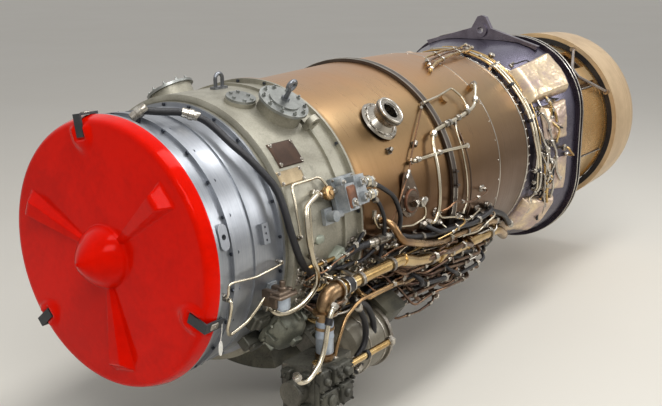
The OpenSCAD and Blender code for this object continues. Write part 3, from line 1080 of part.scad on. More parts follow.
// Band clamps on the pipes, on the port and at the starter's rear end
function on_way(way, x, d) = let (p = route(way, d))
    [x, lookup(x, [for (q = p) [q[0], q[1]]]), lookup(x, [for (q = p) [q[0], q[2]]])];
module bar_between(a, b, r, past = 0) let (d = b - a)
    translate(a) rotate([0, acos(d[2] / norm(d)), atan2(d[1], d[0])])
        translate([0, 0, -past]) cylinder(r = r, h = norm(d) + 2 * past, $fn = 32);
module pipe_clamp(way, x, r, d) {
    difference() {
        bar_between(on_way(way, x - 6, d), on_way(way, x + 6, d), r + 4);
        bar_between(on_way(way, x - 6, d), on_way(way, x + 6, d), r + fit, 1);
    }
    q = on_way(way, x, d);
    at(x, atan2(-q[1], q[2]), 0) let (high = norm([q[1], q[2]]) - r - 1 - foot_at(x, 9)) {
        translate([-5, -4, foot_at(x, 9)]) cube([10, 8, high]);
        translate([-9, -9, foot_at(x, 9)]) cube([18, 18, 3]);
    }
}
module clamps() color("#8c8780") {
    for (x = [mid_x + 180, cone_x + 40, cone_x + 290, rear_x + 80, rear_x + 255])
        pipe_clamp(gold_way, x, gold_r, gold_bend);
    for (x = [hoop_x - 20, rear_x + 70, rear_x + 200]) pipe_clamp(oil_way, x, oil_r, hose_bend);
    for (x = [cone_x + 270, rear_x + 50, rear_x + 170]) pipe_clamp(belly_way, x, hose_r, hose_bend);
    for (x = [rear_x + 24, rear_x + 150]) pipe_clamp(white_way, x, white_r, white_bend);
    for (x = [cone_x + 190, cone_x + 310]) pipe_clamp(thin_way, x, thin_r, thin_bend);
    // Union between the two hoses
    translate(polar(union_x - 14, 96, union_r)) rotate([0, 90, 0]) difference() {
        cylinder(r = hose_r + 5, h = 28, $fn = 32);
        translate([0, 0, -1]) cylinder(r = hose_r + fit, h = 30, $fn = 32);
    }
    at(union_x, 96, foot_at(union_x, 7)) translate([-7, -6, 0]) cube([14, 12, union_r - skin_at(union_x) - 12]);
    at(port_x, port_phi, skin_at(port_x) + port_len - 3) difference() {
        cylinder(r = port_bore_r + 13, h = 4);
        translate([0, 0, -1]) cylinder(r = port_bore_r + 5 + fit, h = 6);
    }
    translate([drum_x + drum_len - 14, drum_y, drum_z]) rotate([0, 90, 0]) difference() {
        cylinder(r = drum_r + 7, h = 12);
        translate([0, 0, -1]) cylinder(r = drum_r + fit, h = 14);
    }
}

// Gearbox hung from the intermediate casing, and what it drives
box_x = cone_x + 94;
box_len = 92;
box_r = mid_r + 24;
box_deep = 84;
drum_r = 84;
drum_len = 150;
drum_phi = 137;
drum_axis_r = box_r + drum_r - 4;
drum_x = box_x - drum_len;
drum_y = -drum_axis_r * sin(drum_phi);
drum_z = drum_axis_r * cos(drum_phi);
module gearbox() color("#7d7f74") {
    spun_part([[box_x, box_r], [box_x, box_r + box_deep], [box_x + 14, box_r + box_deep + 8],
        [box_x + box_len - 14, box_r + box_deep + 8], [box_x + box_len, box_r + box_deep],
        [box_x + box_len, box_r]], 124, 222);
    spun_part([[mid_x + 200, box_r], [mid_x + 200, box_r + 66], [box_x + 4, box_r + 66], [box_x + 4, box_r]],
        163, 197);
    for (a = [166, 190]) spun_part([[mid_x + 226, mid_r + fit], [mid_x + 226, box_r + 4],
        [mid_x + 258, box_r + 4], [mid_x + 258, mid_r + fit]], a, a + 6);
    // Drive pads on the front and rear faces
    translate([0, drum_y, drum_z]) bar_x(box_x - 6, drum_r - 16, 20);
    for (q = [[-96, -box_r - 101, 52], [70, -box_r - 105, 46]])
        translate([0, q[0], q[1]]) bar_x(box_x + box_len - 10, q[2], 16);
}
module starter() color("#a9a490") translate([0, drum_y, drum_z]) {
    spun([[drum_x, 0], [drum_x, drum_r - 34], [drum_x + 10, drum_r - 14], [drum_x + 30, drum_r - 3],
        [drum_x + 50, drum_r], [drum_x + drum_len - 6.2, drum_r], [drum_x + drum_len - 6.2, 0]]);
    bar_x(drum_x - 22, 20, 24);
}
bowl_drop = 214;
unit_y = -mid_r - 93;
unit_z = leg_foot_z - 120 - fit;
module fuel_pumps() color("#6f6b60") {
    // Two pumps on the gearbox's rear face
    translate([0, -96, -box_r - 101]) {
        bar_x(box_x + box_len + 6, 48, 70);
        bar_x(box_x + box_len + 76, 36, 34);
    }
    translate([0, 70, -box_r - 105]) bar_x(box_x + box_len + 6, 42, 96);
    // Filter bowl under the gearbox
    translate([box_x + box_len / 2, -20, -box_r - bowl_drop]) {
        cylinder(r1 = 30, r2 = 38, h = 14);
        translate([0, 0, 14]) cylinder(r = 38, h = bowl_drop - 14 - box_deep - 8);
    }
    // Control unit on the port side, under the leg of the air elbow, with its bracket
    translate([elbow_x - 72, unit_y, unit_z]) cube([150, 93, 120]);
    translate([elbow_x - 72, unit_y + 46, unit_z + 62]) rotate([0, -90, 0]) cylinder(r = 30, h = 34);
    translate([elbow_x - 40, unit_y + 40, unit_z + 1]) mirror([0, 0, 1]) cylinder(r = 26, h = 24);
    translate([elbow_x + 76, unit_y + 40, unit_z + 50]) rotate([0, 90, 0]) cylinder(r = 24, h = 40);
    at(elbow_x + 48, 128, mid_r + 2) translate([-8, -24, 0]) cube([16, 48, 100]);
    spun_part([[elbow_x + 28, mid_r + fit], [elbow_x + 28, mid_r + 7], [elbow_x + 68, mid_r + 7],
        [elbow_x + 68, mid_r + fit]], 121, 135);
}

intake_cover();
cover_straps();
cover_tag();
intake_casing();
fan_casing();
fan_stators();
casing_bolts();
intermediate_casing();
pad_covers();
eye_bolts();
front_duct();
duct_clamp();
rear_duct();
bleed_port();
hatch_plate();
valve_block();
black_hose();
gold_pipe();
oil_pipes();
fuel_pipes();
sense_pipes();
belly_hoses();
clamps();
air_elbow();
gearbox();
starter();
fuel_pumps();
rear_fairing();
seal_frame();
rear_lug();
foil_boxes();
jet_pipe();
jet_blanket();
ram_cylinders();
compressor_casing();
combustor_casing();
flame_tube();
turbine_casing();
exhaust_cone();
flameholder();
bearings();
spinner();
fan_stage_1();
fan_stage_2();
low_shaft();
low_turbine();
high_compressor_rotor();
high_turbine();
nozzle_sleeve();
nozzle_rods();
petal_at(1);  // petal_1
petal_at(2);  // petal_2
petal_at(3);  // petal_3
petal_at(4);  // petal_4
petal_at(5);  // petal_5
petal_at(6);  // petal_6
petal_at(7);  // petal_7
petal_at(8);  // petal_8
petal_at(9);  // petal_9
petal_at(10);  // petal_10
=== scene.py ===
import enum
import logging
import math
from collections.abc import Callable
from dataclasses import dataclass, field

import bpy
import numpy as np
from mathutils import Matrix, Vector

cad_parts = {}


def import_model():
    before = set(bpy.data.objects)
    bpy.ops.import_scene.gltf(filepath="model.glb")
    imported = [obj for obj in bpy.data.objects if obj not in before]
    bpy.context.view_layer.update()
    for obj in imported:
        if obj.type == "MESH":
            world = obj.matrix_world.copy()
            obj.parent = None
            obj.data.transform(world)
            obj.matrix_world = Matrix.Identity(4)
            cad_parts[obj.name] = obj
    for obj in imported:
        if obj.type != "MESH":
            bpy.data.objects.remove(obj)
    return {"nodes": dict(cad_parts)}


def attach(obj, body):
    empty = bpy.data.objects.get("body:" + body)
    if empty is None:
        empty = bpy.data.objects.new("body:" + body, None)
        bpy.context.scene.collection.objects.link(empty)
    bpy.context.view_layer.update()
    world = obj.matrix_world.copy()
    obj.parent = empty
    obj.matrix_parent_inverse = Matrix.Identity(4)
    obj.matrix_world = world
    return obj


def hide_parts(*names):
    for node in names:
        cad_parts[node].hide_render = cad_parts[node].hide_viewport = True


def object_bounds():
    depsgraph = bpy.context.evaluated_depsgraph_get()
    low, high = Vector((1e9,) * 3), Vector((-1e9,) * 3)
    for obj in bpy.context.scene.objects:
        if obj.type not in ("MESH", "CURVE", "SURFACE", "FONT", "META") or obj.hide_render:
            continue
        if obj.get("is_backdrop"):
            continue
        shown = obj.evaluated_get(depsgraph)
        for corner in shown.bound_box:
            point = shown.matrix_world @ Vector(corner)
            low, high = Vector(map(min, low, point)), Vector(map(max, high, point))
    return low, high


# Looks of the turbofan. Places are in millimetres: a station along the engine, an angle
# from the top towards port, and a radius. Meshes are turned into metres as they are made.
log = logging.getLogger("engine")
MM = 0.001
# Length of one degree round the skin
DEG_MM = 6.3

# Stations and radii of the skin, as the solid model has them
MID_X, CONE_X, HOOP_X, REAR_X = 228.0, 512.0, 965.0, 991.0
TAIL_X, SEAL_X, SLEEVE_X = 1570.0, 1880.0, 2360.0
FLANGE_R, FAN_R, MID_R, CONE_R = 328.0, 318.0, 345.0, 342.0
DUCT_R, HOOP_R, REAR_R, RIM_R, SEAL_HALF = 362.0, 371.0, 345.0, 336.0, 385.0
# Clearance at a pipe's end, and the height of the bosses that some pipes end on
GAP = 0.3
BOSS_HIGH = 10.0
SKIN = np.array([
    [0, FAN_R], [MID_X, FAN_R], [MID_X + 12, MID_R], [CONE_X, MID_R], [CONE_X + 1, CONE_R],
    [CONE_X + 60, CONE_R + 4], [HOOP_X, DUCT_R], [REAR_X + 300, DUCT_R], [TAIL_X - 30, REAR_R],
    [TAIL_X, RIM_R], [TAIL_X + 60, RIM_R], [SEAL_X, SEAL_HALF - 12]])

Colour = tuple[float, float, float]
Number = float | np.ndarray


def srgb(code: str) -> Colour:
    """Linear colour of a hex code.

    Args:
        code: Six hex digits after a hash sign.

    Returns:
        Red, green and blue, each ((c + 0.055) / 1.055) ** 2.4 of its share of 255.
    """
    share = np.array([int(code[i:i + 2], 16) for i in (1, 3, 5)]) / 255.0
    linear = np.where(share <= 0.04045, share / 12.92, ((share + 0.055) / 1.055) ** 2.4)
    return tuple(float(c) for c in linear)


# ---------------------------------------------------------------- shader maths


class Value:
    """A number in a material; arithmetic on it adds Math nodes."""

    def __init__(self, graph: "Graph", socket: bpy.types.NodeSocket) -> None:
        """Keeps the graph and the socket that the number comes from."""
        self.graph = graph
        self.socket = socket

    def __add__(self, other: "Value | float") -> "Value":
        """Sum."""
        return self.graph.math("ADD", self, other)

    __radd__ = __add__

    def __sub__(self, other: "Value | float") -> "Value":
        """Difference."""
        return self.graph.math("SUBTRACT", self, other)

    def __rsub__(self, other: float) -> "Value":
        """Difference from a plain number."""
        return self.graph.math("SUBTRACT", other, self)

    def __mul__(self, other: "Value | float") -> "Value":
        """Product."""
        return self.graph.math("MULTIPLY", self, other)

    def __truediv__(self, other: float) -> "Value":
        """Quotient."""
        return self.graph.math("DIVIDE", self, other)

    def __pow__(self, other: float) -> "Value":
        """Power."""
        return self.graph.math("POWER", self, other)

    def sine(self) -> "Value":
        """Sine of an angle in radians."""
        return self.graph.math("SINE", self)

    def stepped(self, low: float, high: float) -> "Value":
        """Smooth rise from 0 at low to 1 at high."""
        node = self.graph.node("ShaderNodeMapRange", {"interpolation_type": "SMOOTHSTEP"},
                               {"Value": self, "From Min": low, "From Max": high})
        return Value(self.graph, node.outputs["Result"])

    def clipped(self) -> "Value":
        """This number kept between 0 and 1."""
        node = self.graph.node("ShaderNodeClamp", {}, {"Value": self})
        return Value(self.graph, node.outputs["Result"])


class Graph:
    """The nodes of one material, of the world or of a node group."""

    def __init__(self, tree: bpy.types.NodeTree) -> None:
        """Keeps the node tree that everything is added to."""
        self.tree = tree

    def node(self, kind: str, settings: dict, inputs: dict) -> bpy.types.Node:
        """Adds a node.

        Args:
            kind: The node's type name.
            settings: Its properties, set first; "stops" holds a ramp's places and colours.
            inputs: Values or links of its sockets, by name or number.

        Returns:
            The new node.
        """
        made = self.tree.nodes.new(kind)
        for name, setting in settings.items():
            if name == "stops":
                ramp = made.color_ramp.elements
                while len(ramp) < len(setting):
                    ramp.new(1.0)
                for element, (place, colour) in zip(ramp, setting):
                    element.position = place
                    element.color = (*colour, 1.0)
            else:
                setattr(made, name, setting)
        for name, given in inputs.items():
            source = given.socket if isinstance(given, Value) else given
            if isinstance(source, bpy.types.NodeSocket):
                self.tree.links.new(source, made.inputs[name])
            else:
                made.inputs[name].default_value = source
        return made

    def math(self, operation: str, *terms: Value | float) -> Value:
        """Adds a Math node of the given operation on one or two terms."""
        made = self.node("ShaderNodeMath", {"operation": operation}, dict(enumerate(terms)))
        return Value(self, made.outputs[0])

    def mix(self, share: Value | float, *colours: Colour | bpy.types.NodeSocket) -> bpy.types.NodeSocket:
        """Mixes two colours.

        Args:
            share: Share of the second colour.
            colours: The two, each a colour or a link.

        Returns:
            The mixed colour's socket.
        """
        first, second = ((*c, 1.0) if isinstance(c, tuple) else c for c in colours)
        made = self.node("ShaderNodeMix", {"data_type": "RGBA"}, {0: share, 6: first, 7: second})
        return made.outputs[2]

    def place(self) -> bpy.types.NodeSocket:
        """Place on the object, in metres, in the engine's own frame."""
        return self.node("ShaderNodeTexCoord", {}, {}).outputs["Object"]

    def parts(self, vector: bpy.types.NodeSocket) -> tuple[Value, Value, Value]:
        """The three numbers of a vector."""
        made = self.node("ShaderNodeSeparateXYZ", {}, {0: vector})
        return tuple(Value(self, s) for s in made.outputs)

    def joined(self, *numbers: Value) -> bpy.types.NodeSocket:
        """A vector of three numbers."""
        return self.node("ShaderNodeCombineXYZ", {}, dict(enumerate(numbers))).outputs[0]

    def noise(self, vector: bpy.types.NodeSocket, scale: float, detail: float, rough: float = 0.55,
              bend: float = 0.0) -> Value:
        """Cloudy noise from 0 to 1 with its middle near 0.5."""
        made = self.node("ShaderNodeTexNoise", {}, {
            "Vector": vector, "Scale": scale, "Detail": detail, "Roughness": rough, "Distortion": bend})
        return Value(self, made.outputs[0])

    def cells(self, vector: bpy.types.NodeSocket, scale: float) -> Value:
        """Distance to the nearest of scattered points, in cells."""
        made = self.node("ShaderNodeTexVoronoi", {}, {"Vector": vector, "Scale": scale})
        return Value(self, made.outputs["Distance"])

    def ramp(self, value: Value, stops: list[tuple[float, Colour]]) -> bpy.types.NodeSocket:
        """Colour read off a row of stops."""
        return self.node("ShaderNodeValToRGB", {"stops": stops}, {0: value}).outputs[0]


class Grain(enum.Enum):
    """Fine structure of a surface."""

    CAST = enum.auto()
    TURNED = enum.auto()
    DRAWN = enum.auto()
    STIPPLED = enum.auto()
    BRAIDED = enum.auto()
    MOULDED = enum.auto()
    PAINTED = enum.auto()


# Half height in metres over which the bands of painted light by height run, and how strongly they show
PAINTED_LIGHT_HALF, PAINTED_LIGHT_SHARE = 0.37, 0.78
# Colour of the dark specks, which are denser towards the bottom
SPECK_DARK = "#1b1712"
COAT_ROUGH, MOULDED_GLOSS = 0.06, 0.25
# Waves of the braid to a metre, times 2 pi
BRAID = 2100.0


@dataclass(frozen=True)
class Finish:
    """One finish: two colours that drift into each other, gloss, grain, dark specks that are denser low
    down, and bands by height that are painted light: a painted reflection on top and painted shade below.

    The grain sets how the fine pattern lies: cast metal is cloudy, turned metal has lines
    round the engine's axis, drawn tube is nearly plain, stippled foil has cells. Patch and
    fine are the sizes of the slow drift and of the pattern, in waves to a metre; relief and
    depth are the bump's strength and height; spread is how far the roughness wanders.
    """

    name: str
    main: str
    second: str
    rough: float = 0.4
    metal: float = 1.0
    grain: Grain = Grain.CAST
    patch: float = 9.0
    fine: float = 220.0
    relief: float = 0.25
    depth: float = 0.0006
    spread: float = 0.18
    coat: float = 0.0
    low_specks: float = 0.0
    # Colours by height are painted light: a painted reflection lightens the top, painted shade darkens the
    # bottom
    bands: tuple[tuple[float, str], ...] = ()

    def build(self) -> bpy.types.Material:
        """Makes the material.

        Returns:
            A material whose colour, roughness and bump come from its nodes.
        """
        material = bpy.data.materials.new(self.name)
        material.use_nodes = True
        graph = Graph(material.node_tree)
        shader = material.node_tree.nodes["Principled BSDF"]
        place = graph.place()
        x, y, z = graph.parts(place)
        clouds = graph.noise(place, self.patch, 4.0, 0.6, 0.4)
        fine = self._fine(graph, place, x, y, z)
        drift = (clouds * 0.75 + fine * 0.25).stepped(0.36, 0.66)
        colour = graph.mix(drift, srgb(self.main), srgb(self.second))
        # Bands by height are painted light: a warm painted reflection on top, painted shade towards the
        # bottom
        if self.bands:
            wander = (clouds - 0.5) * 0.10
            height = ((z + wander + PAINTED_LIGHT_HALF) / (2 * PAINTED_LIGHT_HALF)).clipped()
            tint = graph.ramp(height, [(share, srgb(code)) for share, code in self.bands])
            colour = graph.mix(PAINTED_LIGHT_SHARE, colour, tint)
        # Dark specks, denser towards the bottom of the engine
        if self.low_specks > 0:
            specks = graph.noise(place, 34.0, 5.0, 0.7, 0.8).stepped(0.54, 0.74)
            low_down = 1.0 - z.stepped(-0.42, 0.10)
            speck_share = (specks * (0.35 + low_down * 0.65) * self.low_specks).clipped()
            colour = graph.mix(speck_share, colour, srgb(SPECK_DARK))
        wear = (fine - 0.5) * self.spread + (clouds - 0.5) * self.spread * 0.8
        bump = graph.node("ShaderNodeBump", {}, {
            "Strength": self.relief, "Distance": self.depth, "Height": self._height(clouds, fine)})
        for name, source in (("Base Color", colour), ("Roughness", (wear + self.rough).clipped().socket),
                             ("Normal", bump.outputs[0])):
            graph.tree.links.new(source, shader.inputs[name])
        plain = {"Metallic": self.metal, "Coat Weight": self.coat, "Coat Roughness": COAT_ROUGH}
        if self.grain is Grain.MOULDED:
            plain |= {"Specular Tint": (*srgb(self.main), 1.0), "Specular IOR Level": MOULDED_GLOSS}
        for name, number in plain.items():
            shader.inputs[name].default_value = number
        return material

    def _fine(self, graph: Graph, place: bpy.types.NodeSocket, x: Value, y: Value, z: Value) -> Value:
        """The fine pattern from 0 to 1, laid as the grain says.

        Turned lines read (x, angle, radius) with the angle shrunk, so they run round the axis.

        Args:
            graph: Where the nodes go.
            place: Place on the object.
            x: Station.
            y: Place across.
            z: Height.

        Returns:
            The pattern's value.
        """
        if self.grain in (Grain.TURNED, Grain.STIPPLED):
            angle = graph.math("ARCTAN2", y, z) * 0.34
            radius = (y * y + z * z) ** 0.5
            if self.grain is Grain.TURNED:
                return graph.noise(graph.joined(x, angle * 0.02, radius * 0.5), self.fine, 2.0, 0.6)
            return graph.cells(graph.joined(x, angle, radius), self.fine).stepped(0.05, 0.75)
        if self.grain is Grain.BRAIDED:
            first = ((x + y * 0.6 + z) * BRAID).sine()
            other = ((x - y - z * 0.6) * BRAID).sine()
            return (first * other) * 0.5 + 0.5
        if self.grain is Grain.DRAWN:
            return graph.noise(place, self.fine * 0.12, 2.0, 0.5)
        return graph.noise(place, self.fine, 3.0, 0.6)

    def _height(self, clouds: Value, fine: Value) -> Value:
        """Height for the bump: slow swell and fine pattern, mostly swell on a moulding."""
        if self.grain is Grain.MOULDED:
            return clouds * 0.8 + fine * 0.2
        return clouds * 0.25 + fine * 0.75


class Finishes:
    """Every finish of the engine, made once each."""

    def __init__(self) -> None:
        """Starts with nothing made."""
        self.made: dict[str, bpy.types.Material] = {}

    def get(self, finish: Finish) -> bpy.types.Material:
        """The material of a finish, made on first use."""
        if finish.name not in self.made:
            self.made[finish.name] = finish.build()
        return self.made[finish.name]


# Painted light by share of the height, from dark painted shade at the bottom to a warm painted reflection
# at the top, then the finishes. Their numbers are rough, metal, grain, patch, fine, relief, depth, spread,
# coat and low specks, in that order.
PAINTED_LIGHT_BANDS = ((0.0, "#22150b"), (0.25, "#422c1a"), (0.5, "#674a2f"),
        (0.7, "#826542"), (0.84, "#a88b62"), (1.0, "#cc9a6a"))
RED = Finish("red_moulding", "#d61000", "#c00c00", 0.13, 0.0, Grain.MOULDED,
             5.0, 60.0, 0.14, 0.0014, 0.05, 0.07)
STRAP = Finish("strap_rubber", "#303234", "#232427", 0.62, 0.0, Grain.PAINTED, 14.0, 600.0, 0.4, 0.0004)
TAG = Finish("tag_card", "#e8e6de", "#d8d4c8", 0.55, 0.0, Grain.PAINTED, 20.0, 400.0, 0.15, 0.0003)
FAN_ALLOY = Finish("fan_case_alloy", "#9fa2a7", "#8a8d92", 0.34, 0.75, Grain.TURNED,
                   7.0, 260.0, 0.12, 0.0003, 0.16, 0.0, 0.25)
VANE = Finish("vane_alloy", "#a3a8ac", "#8b9095", 0.35, 0.9, Grain.CAST, 12.0, 200.0, 0.15, 0.0003)
BOLT = Finish("bolt_steel", "#4d5159", "#34363c", 0.38, 0.9, Grain.CAST, 40.0, 400.0, 0.2, 0.0003)
CASTING = Finish("cast_casing", "#a29e8f", "#868274", 0.46, 0.55, Grain.CAST,
                 9.0, 230.0, 0.35, 0.0007, 0.2, 0.0, 0.75)
PAD = Finish("cover_alloy", "#9a9c98", "#7e7f7b", 0.36, 0.85, Grain.CAST,
             16.0, 260.0, 0.2, 0.0004, 0.2, 0.0, 0.4)
EYE = Finish("eye_steel", "#84868a", "#66686c", 0.3, 0.9, Grain.CAST, 24.0, 300.0, 0.2, 0.0003)
# The ducts take the bands by height: a painted reflection on top, painted shade below
DUCT = Finish("duct_titanium", "#937760", "#6c543f", 0.32, 1.0, Grain.TURNED,
              4.5, 210.0, 0.12, 0.0003, 0.2, 0.0, 0.3, PAINTED_LIGHT_BANDS)
HOOP = Finish("hoop_steel", "#5f564f", "#4b423d", 0.34, 0.9, Grain.TURNED,
              9.0, 260.0, 0.15, 0.0003, 0.15, 0.0, 0.4)
PORT = Finish("port_steel", "#a9a399", "#8c8478", 0.26, 1.0, Grain.CAST, 20.0, 300.0, 0.15, 0.0003)
HATCH = Finish("plate_bronze", "#77685a", "#5d5045", 0.42, 0.85, Grain.CAST,
               18.0, 260.0, 0.3, 0.0005, 0.2, 0.0, 0.5)
VALVE = Finish("valve_paint", "#a2a5a6", "#7f8486", 0.42, 0.4, Grain.CAST,
               24.0, 320.0, 0.3, 0.0005, 0.2, 0.0, 0.7)
HOSE = Finish("hose_braid", "#1a191d", "#111013", 0.38, 0.1, Grain.BRAIDED, 20.0, 300.0, 0.5, 0.0006)
GOLD = Finish("gold_tube", "#ccb07c", "#a5834f", 0.22, 1.0, Grain.DRAWN,
              7.0, 160.0, 0.08, 0.0003, 0.12, 0.0, 0.08)
BROWN = Finish("oil_tube", "#b3946a", "#87694a", 0.27, 1.0, Grain.DRAWN,
               9.0, 160.0, 0.08, 0.0003, 0.14, 0.0, 0.35)
SILVER = Finish("silver_tube", "#d6cdb9", "#b5aa93", 0.22, 1.0, Grain.DRAWN,
                10.0, 180.0, 0.08, 0.0003, 0.12, 0.0, 0.08)
COPPER = Finish("copper_tube", "#8c6a50", "#68503f", 0.28, 1.0, Grain.DRAWN, 12.0, 200.0, 0.08, 0.0003)
NUT = Finish("nut_steel", "#b9b4aa", "#8d857a", 0.28, 1.0, Grain.CAST,
             40.0, 400.0, 0.15, 0.0003, 0.2, 0.0, 0.45)
CLIP = Finish("clip_steel", "#a29c92", "#6e675f", 0.32, 0.95, Grain.CAST, 30.0, 400.0, 0.15, 0.0003)
ELBOW = Finish("elbow_bronze", "#9a8263", "#6d543c", 0.33, 1.0, Grain.CAST,
               12.0, 200.0, 0.2, 0.0004, 0.2, 0.0, 0.5)
GEARBOX = Finish("gearbox_cast", "#5d5b4e", "#42413a", 0.48, 0.5, Grain.CAST,
                 12.0, 200.0, 0.45, 0.0009, 0.2, 0.0, 1.0)
DRUM = Finish("drum_paint", "#7d7768", "#655f52", 0.4, 0.35, Grain.PAINTED,
              6.0, 200.0, 0.15, 0.0004, 0.14, 0.1, 0.5)
UNIT = Finish("unit_cast", "#6c6a60", "#4b4943", 0.45, 0.6, Grain.CAST,
              16.0, 220.0, 0.4, 0.0008, 0.2, 0.0, 1.0)
FAIRING = Finish("fairing_steel", "#6d6978", "#56525f", 0.3, 0.9, Grain.CAST,
                 7.0, 120.0, 0.25, 0.0008, 0.2, 0.0, 0.5)
SEAL = Finish("seal_dark", "#4b434e", "#39323b", 0.26, 0.85, Grain.CAST,
              10.0, 200.0, 0.12, 0.0003, 0.14, 0.0, 0.2)
LUG = Finish("lug_steel", "#8a8490", "#6f6873", 0.3, 0.95, Grain.CAST, 18.0, 260.0, 0.15, 0.0003)
FOIL = Finish("foil_crumpled", "#e2cdaa", "#b7a29c", 0.36, 0.85, Grain.CAST,
              12.0, 120.0, 0.25, 0.0006, 0.2, 0.0, 0.15)
BLANKET = Finish("foil_stippled", "#d8b27a", "#b98f55", 0.27, 0.85, Grain.STIPPLED,
                 6.0, 150.0, 0.7, 0.0014, 0.12, 0.0, 0.15)
PANEL = Finish("panel_plain", "#d4b688", "#bb9a6c", 0.3, 0.6, Grain.TURNED,
               6.0, 150.0, 0.08, 0.0003, 0.1, 0.0, 0.15)
CREAM_PANEL = Finish("panel_cream", "#dccba2", "#c6b084", 0.26, 0.9, Grain.TURNED,
                     6.0, 150.0, 0.08, 0.0003, 0.1, 0.0, 0.1)
HOT = Finish("hot_steel", "#6b5a4c", "#4e4138", 0.4, 0.95, Grain.TURNED,
             7.0, 200.0, 0.15, 0.0004, 0.15, 0.0, 0.5)
RAM = Finish("ram_steel", "#77706f", "#5b5457", 0.3, 0.95, Grain.CAST, 20.0, 260.0, 0.12, 0.0003)
ROD = Finish("rod_steel", "#b9afa8", "#958c88", 0.24, 1.0, Grain.DRAWN, 14.0, 200.0, 0.06, 0.0003)
CORE = Finish("core_alloy", "#8b8c86", "#767770", 0.42, 0.8, Grain.CAST,
              9.0, 220.0, 0.25, 0.0005, 0.2, 0.0, 0.4)
CORE_HOT = Finish("core_steel", "#94856f", "#75644f", 0.38, 0.95, Grain.TURNED,
                  9.0, 220.0, 0.15, 0.0004, 0.15, 0.0, 0.3)
BLADE = Finish("rotor_titanium", "#9096a0", "#7c828b", 0.28, 1.0, Grain.CAST, 10.0, 260.0, 0.1, 0.0003)
SHAFT = Finish("shaft_steel", "#9c9ea3", "#85878c", 0.25, 1.0, Grain.TURNED, 10.0, 300.0, 0.08, 0.0003)
NICKEL = Finish("turbine_nickel", "#8f7a61", "#6f5c49", 0.33, 1.0, Grain.CAST, 14.0, 260.0, 0.15, 0.0003)
CREAM = Finish("nozzle_cream", "#cbb08a", "#b09673", 0.42, 0.35, Grain.TURNED,
               5.0, 180.0, 0.12, 0.0004, 0.14, 0.0, 0.15)
PETAL = Finish("petal_steel", "#7d7063", "#5f5449", 0.36, 0.95, Grain.CAST,
               9.0, 200.0, 0.15, 0.0004, 0.15, 0.0, 0.4)
BARE_BROWN = Finish("plate_brown", "#4a3527", "#3b2a20", 0.38, 0.6, Grain.PAINTED,
                    30.0, 300.0, 0.12, 0.0003)
BARE_TAN = Finish("plate_tan", "#a89678", "#8f7f64", 0.36, 0.8, Grain.CAST, 26.0, 300.0, 0.15, 0.0003)
RUST = Finish("rust_paint", "#7c5138", "#5e3f2e", 0.45, 0.4, Grain.CAST,
              22.0, 300.0, 0.3, 0.0005, 0.2, 0.0, 0.5)
BRASS = Finish("brass_knob", "#ab8c64", "#866a45", 0.26, 1.0, Grain.TURNED, 16.0, 260.0, 0.1, 0.0003)
BRACKET = Finish("bracket_paint", "#959a8b", "#7a7f72", 0.44, 0.3, Grain.CAST,
                 20.0, 260.0, 0.25, 0.0005, 0.18, 0.0, 0.3)
BRIGHT = Finish("bright_steel", "#cbc6bd", "#a59e93", 0.2, 1.0, Grain.TURNED,
                14.0, 260.0, 0.08, 0.0003, 0.12, 0.0, 0.1)
LUMP = Finish("lump_cast", "#57564d", "#393833", 0.44, 0.6, Grain.CAST,
              16.0, 220.0, 0.4, 0.0008, 0.2, 0.0, 0.9)
BRACKET_DARK = Finish("housing_cast", "#77776a", "#565950", 0.42, 0.6, Grain.CAST,
                      18.0, 240.0, 0.4, 0.0008, 0.2, 0.0, 0.9)
BRONZE = Finish("bronze_tube", "#7b6350", "#54423a", 0.3, 1.0, Grain.DRAWN,
                12.0, 200.0, 0.08, 0.0003, 0.16, 0.0, 0.4)
PALE = Finish("pale_sleeve", "#b9c2cc", "#9aa4b0", 0.34, 0.6, Grain.PAINTED,
              16.0, 300.0, 0.1, 0.0003, 0.14, 0.0, 0.2)

NODE_FINISH: dict[str, Finish] = {
    "intake_cover": RED, "cover_straps": STRAP, "cover_tag": TAG, "intake_casing": FAN_ALLOY,
    "fan_casing": FAN_ALLOY, "fan_stators": VANE, "casing_bolts": BOLT, "intermediate_casing": CASTING,
    "pad_covers": PAD, "eye_bolts": EYE, "front_duct": DUCT, "duct_clamp": HOOP, "rear_duct": DUCT,
    "bleed_port": PORT, "hatch_plate": HATCH, "valve_block": VALVE, "black_hose": HOSE, "gold_pipe": GOLD,
    "oil_pipes": BROWN, "fuel_pipes": SILVER, "sense_pipes": SILVER, "belly_hoses": HOSE, "clamps": CLIP,
    "air_elbow": ELBOW, "gearbox": GEARBOX, "starter": DRUM, "fuel_pumps": UNIT, "rear_fairing": FAIRING,
    "seal_frame": SEAL, "rear_lug": LUG, "foil_boxes": FOIL, "jet_pipe": HOT, "jet_blanket": PANEL,
    "ram_cylinders": RAM, "compressor_casing": CORE, "combustor_casing": CORE_HOT, "flame_tube": CORE_HOT,
    "turbine_casing": CORE_HOT, "exhaust_cone": HOT, "flameholder": HOT, "bearings": SHAFT,
    "spinner": BLADE,
    "fan_stage_1": BLADE, "fan_stage_2": BLADE, "low_shaft": SHAFT, "low_turbine": NICKEL,
    "high_compressor_rotor": BLADE, "high_turbine": NICKEL, "nozzle_sleeve": CREAM, "nozzle_rods": ROD,
}


# ---------------------------------------------------------------- surfaces

# Steps of a ring round the engine; the angle that spreads trial directions evenly
RING_STEPS, GOLDEN = 180, 2.399963


def unit(vectors: np.ndarray) -> np.ndarray:
    """Vectors of length 1 along the given ones: v / |v|."""
    return vectors / np.linalg.norm(vectors, axis=-1, keepdims=True)


def polar(x: Number, angle: Number, radius: Number) -> np.ndarray:
    """Places of a station, an angle and a radius: x = station, y = -r sin(angle), z = r cos(angle)."""
    x, angle, radius = np.broadcast_arrays(x, np.radians(angle), radius)
    return np.stack([x, -radius * np.sin(angle), radius * np.cos(angle)], axis=-1)


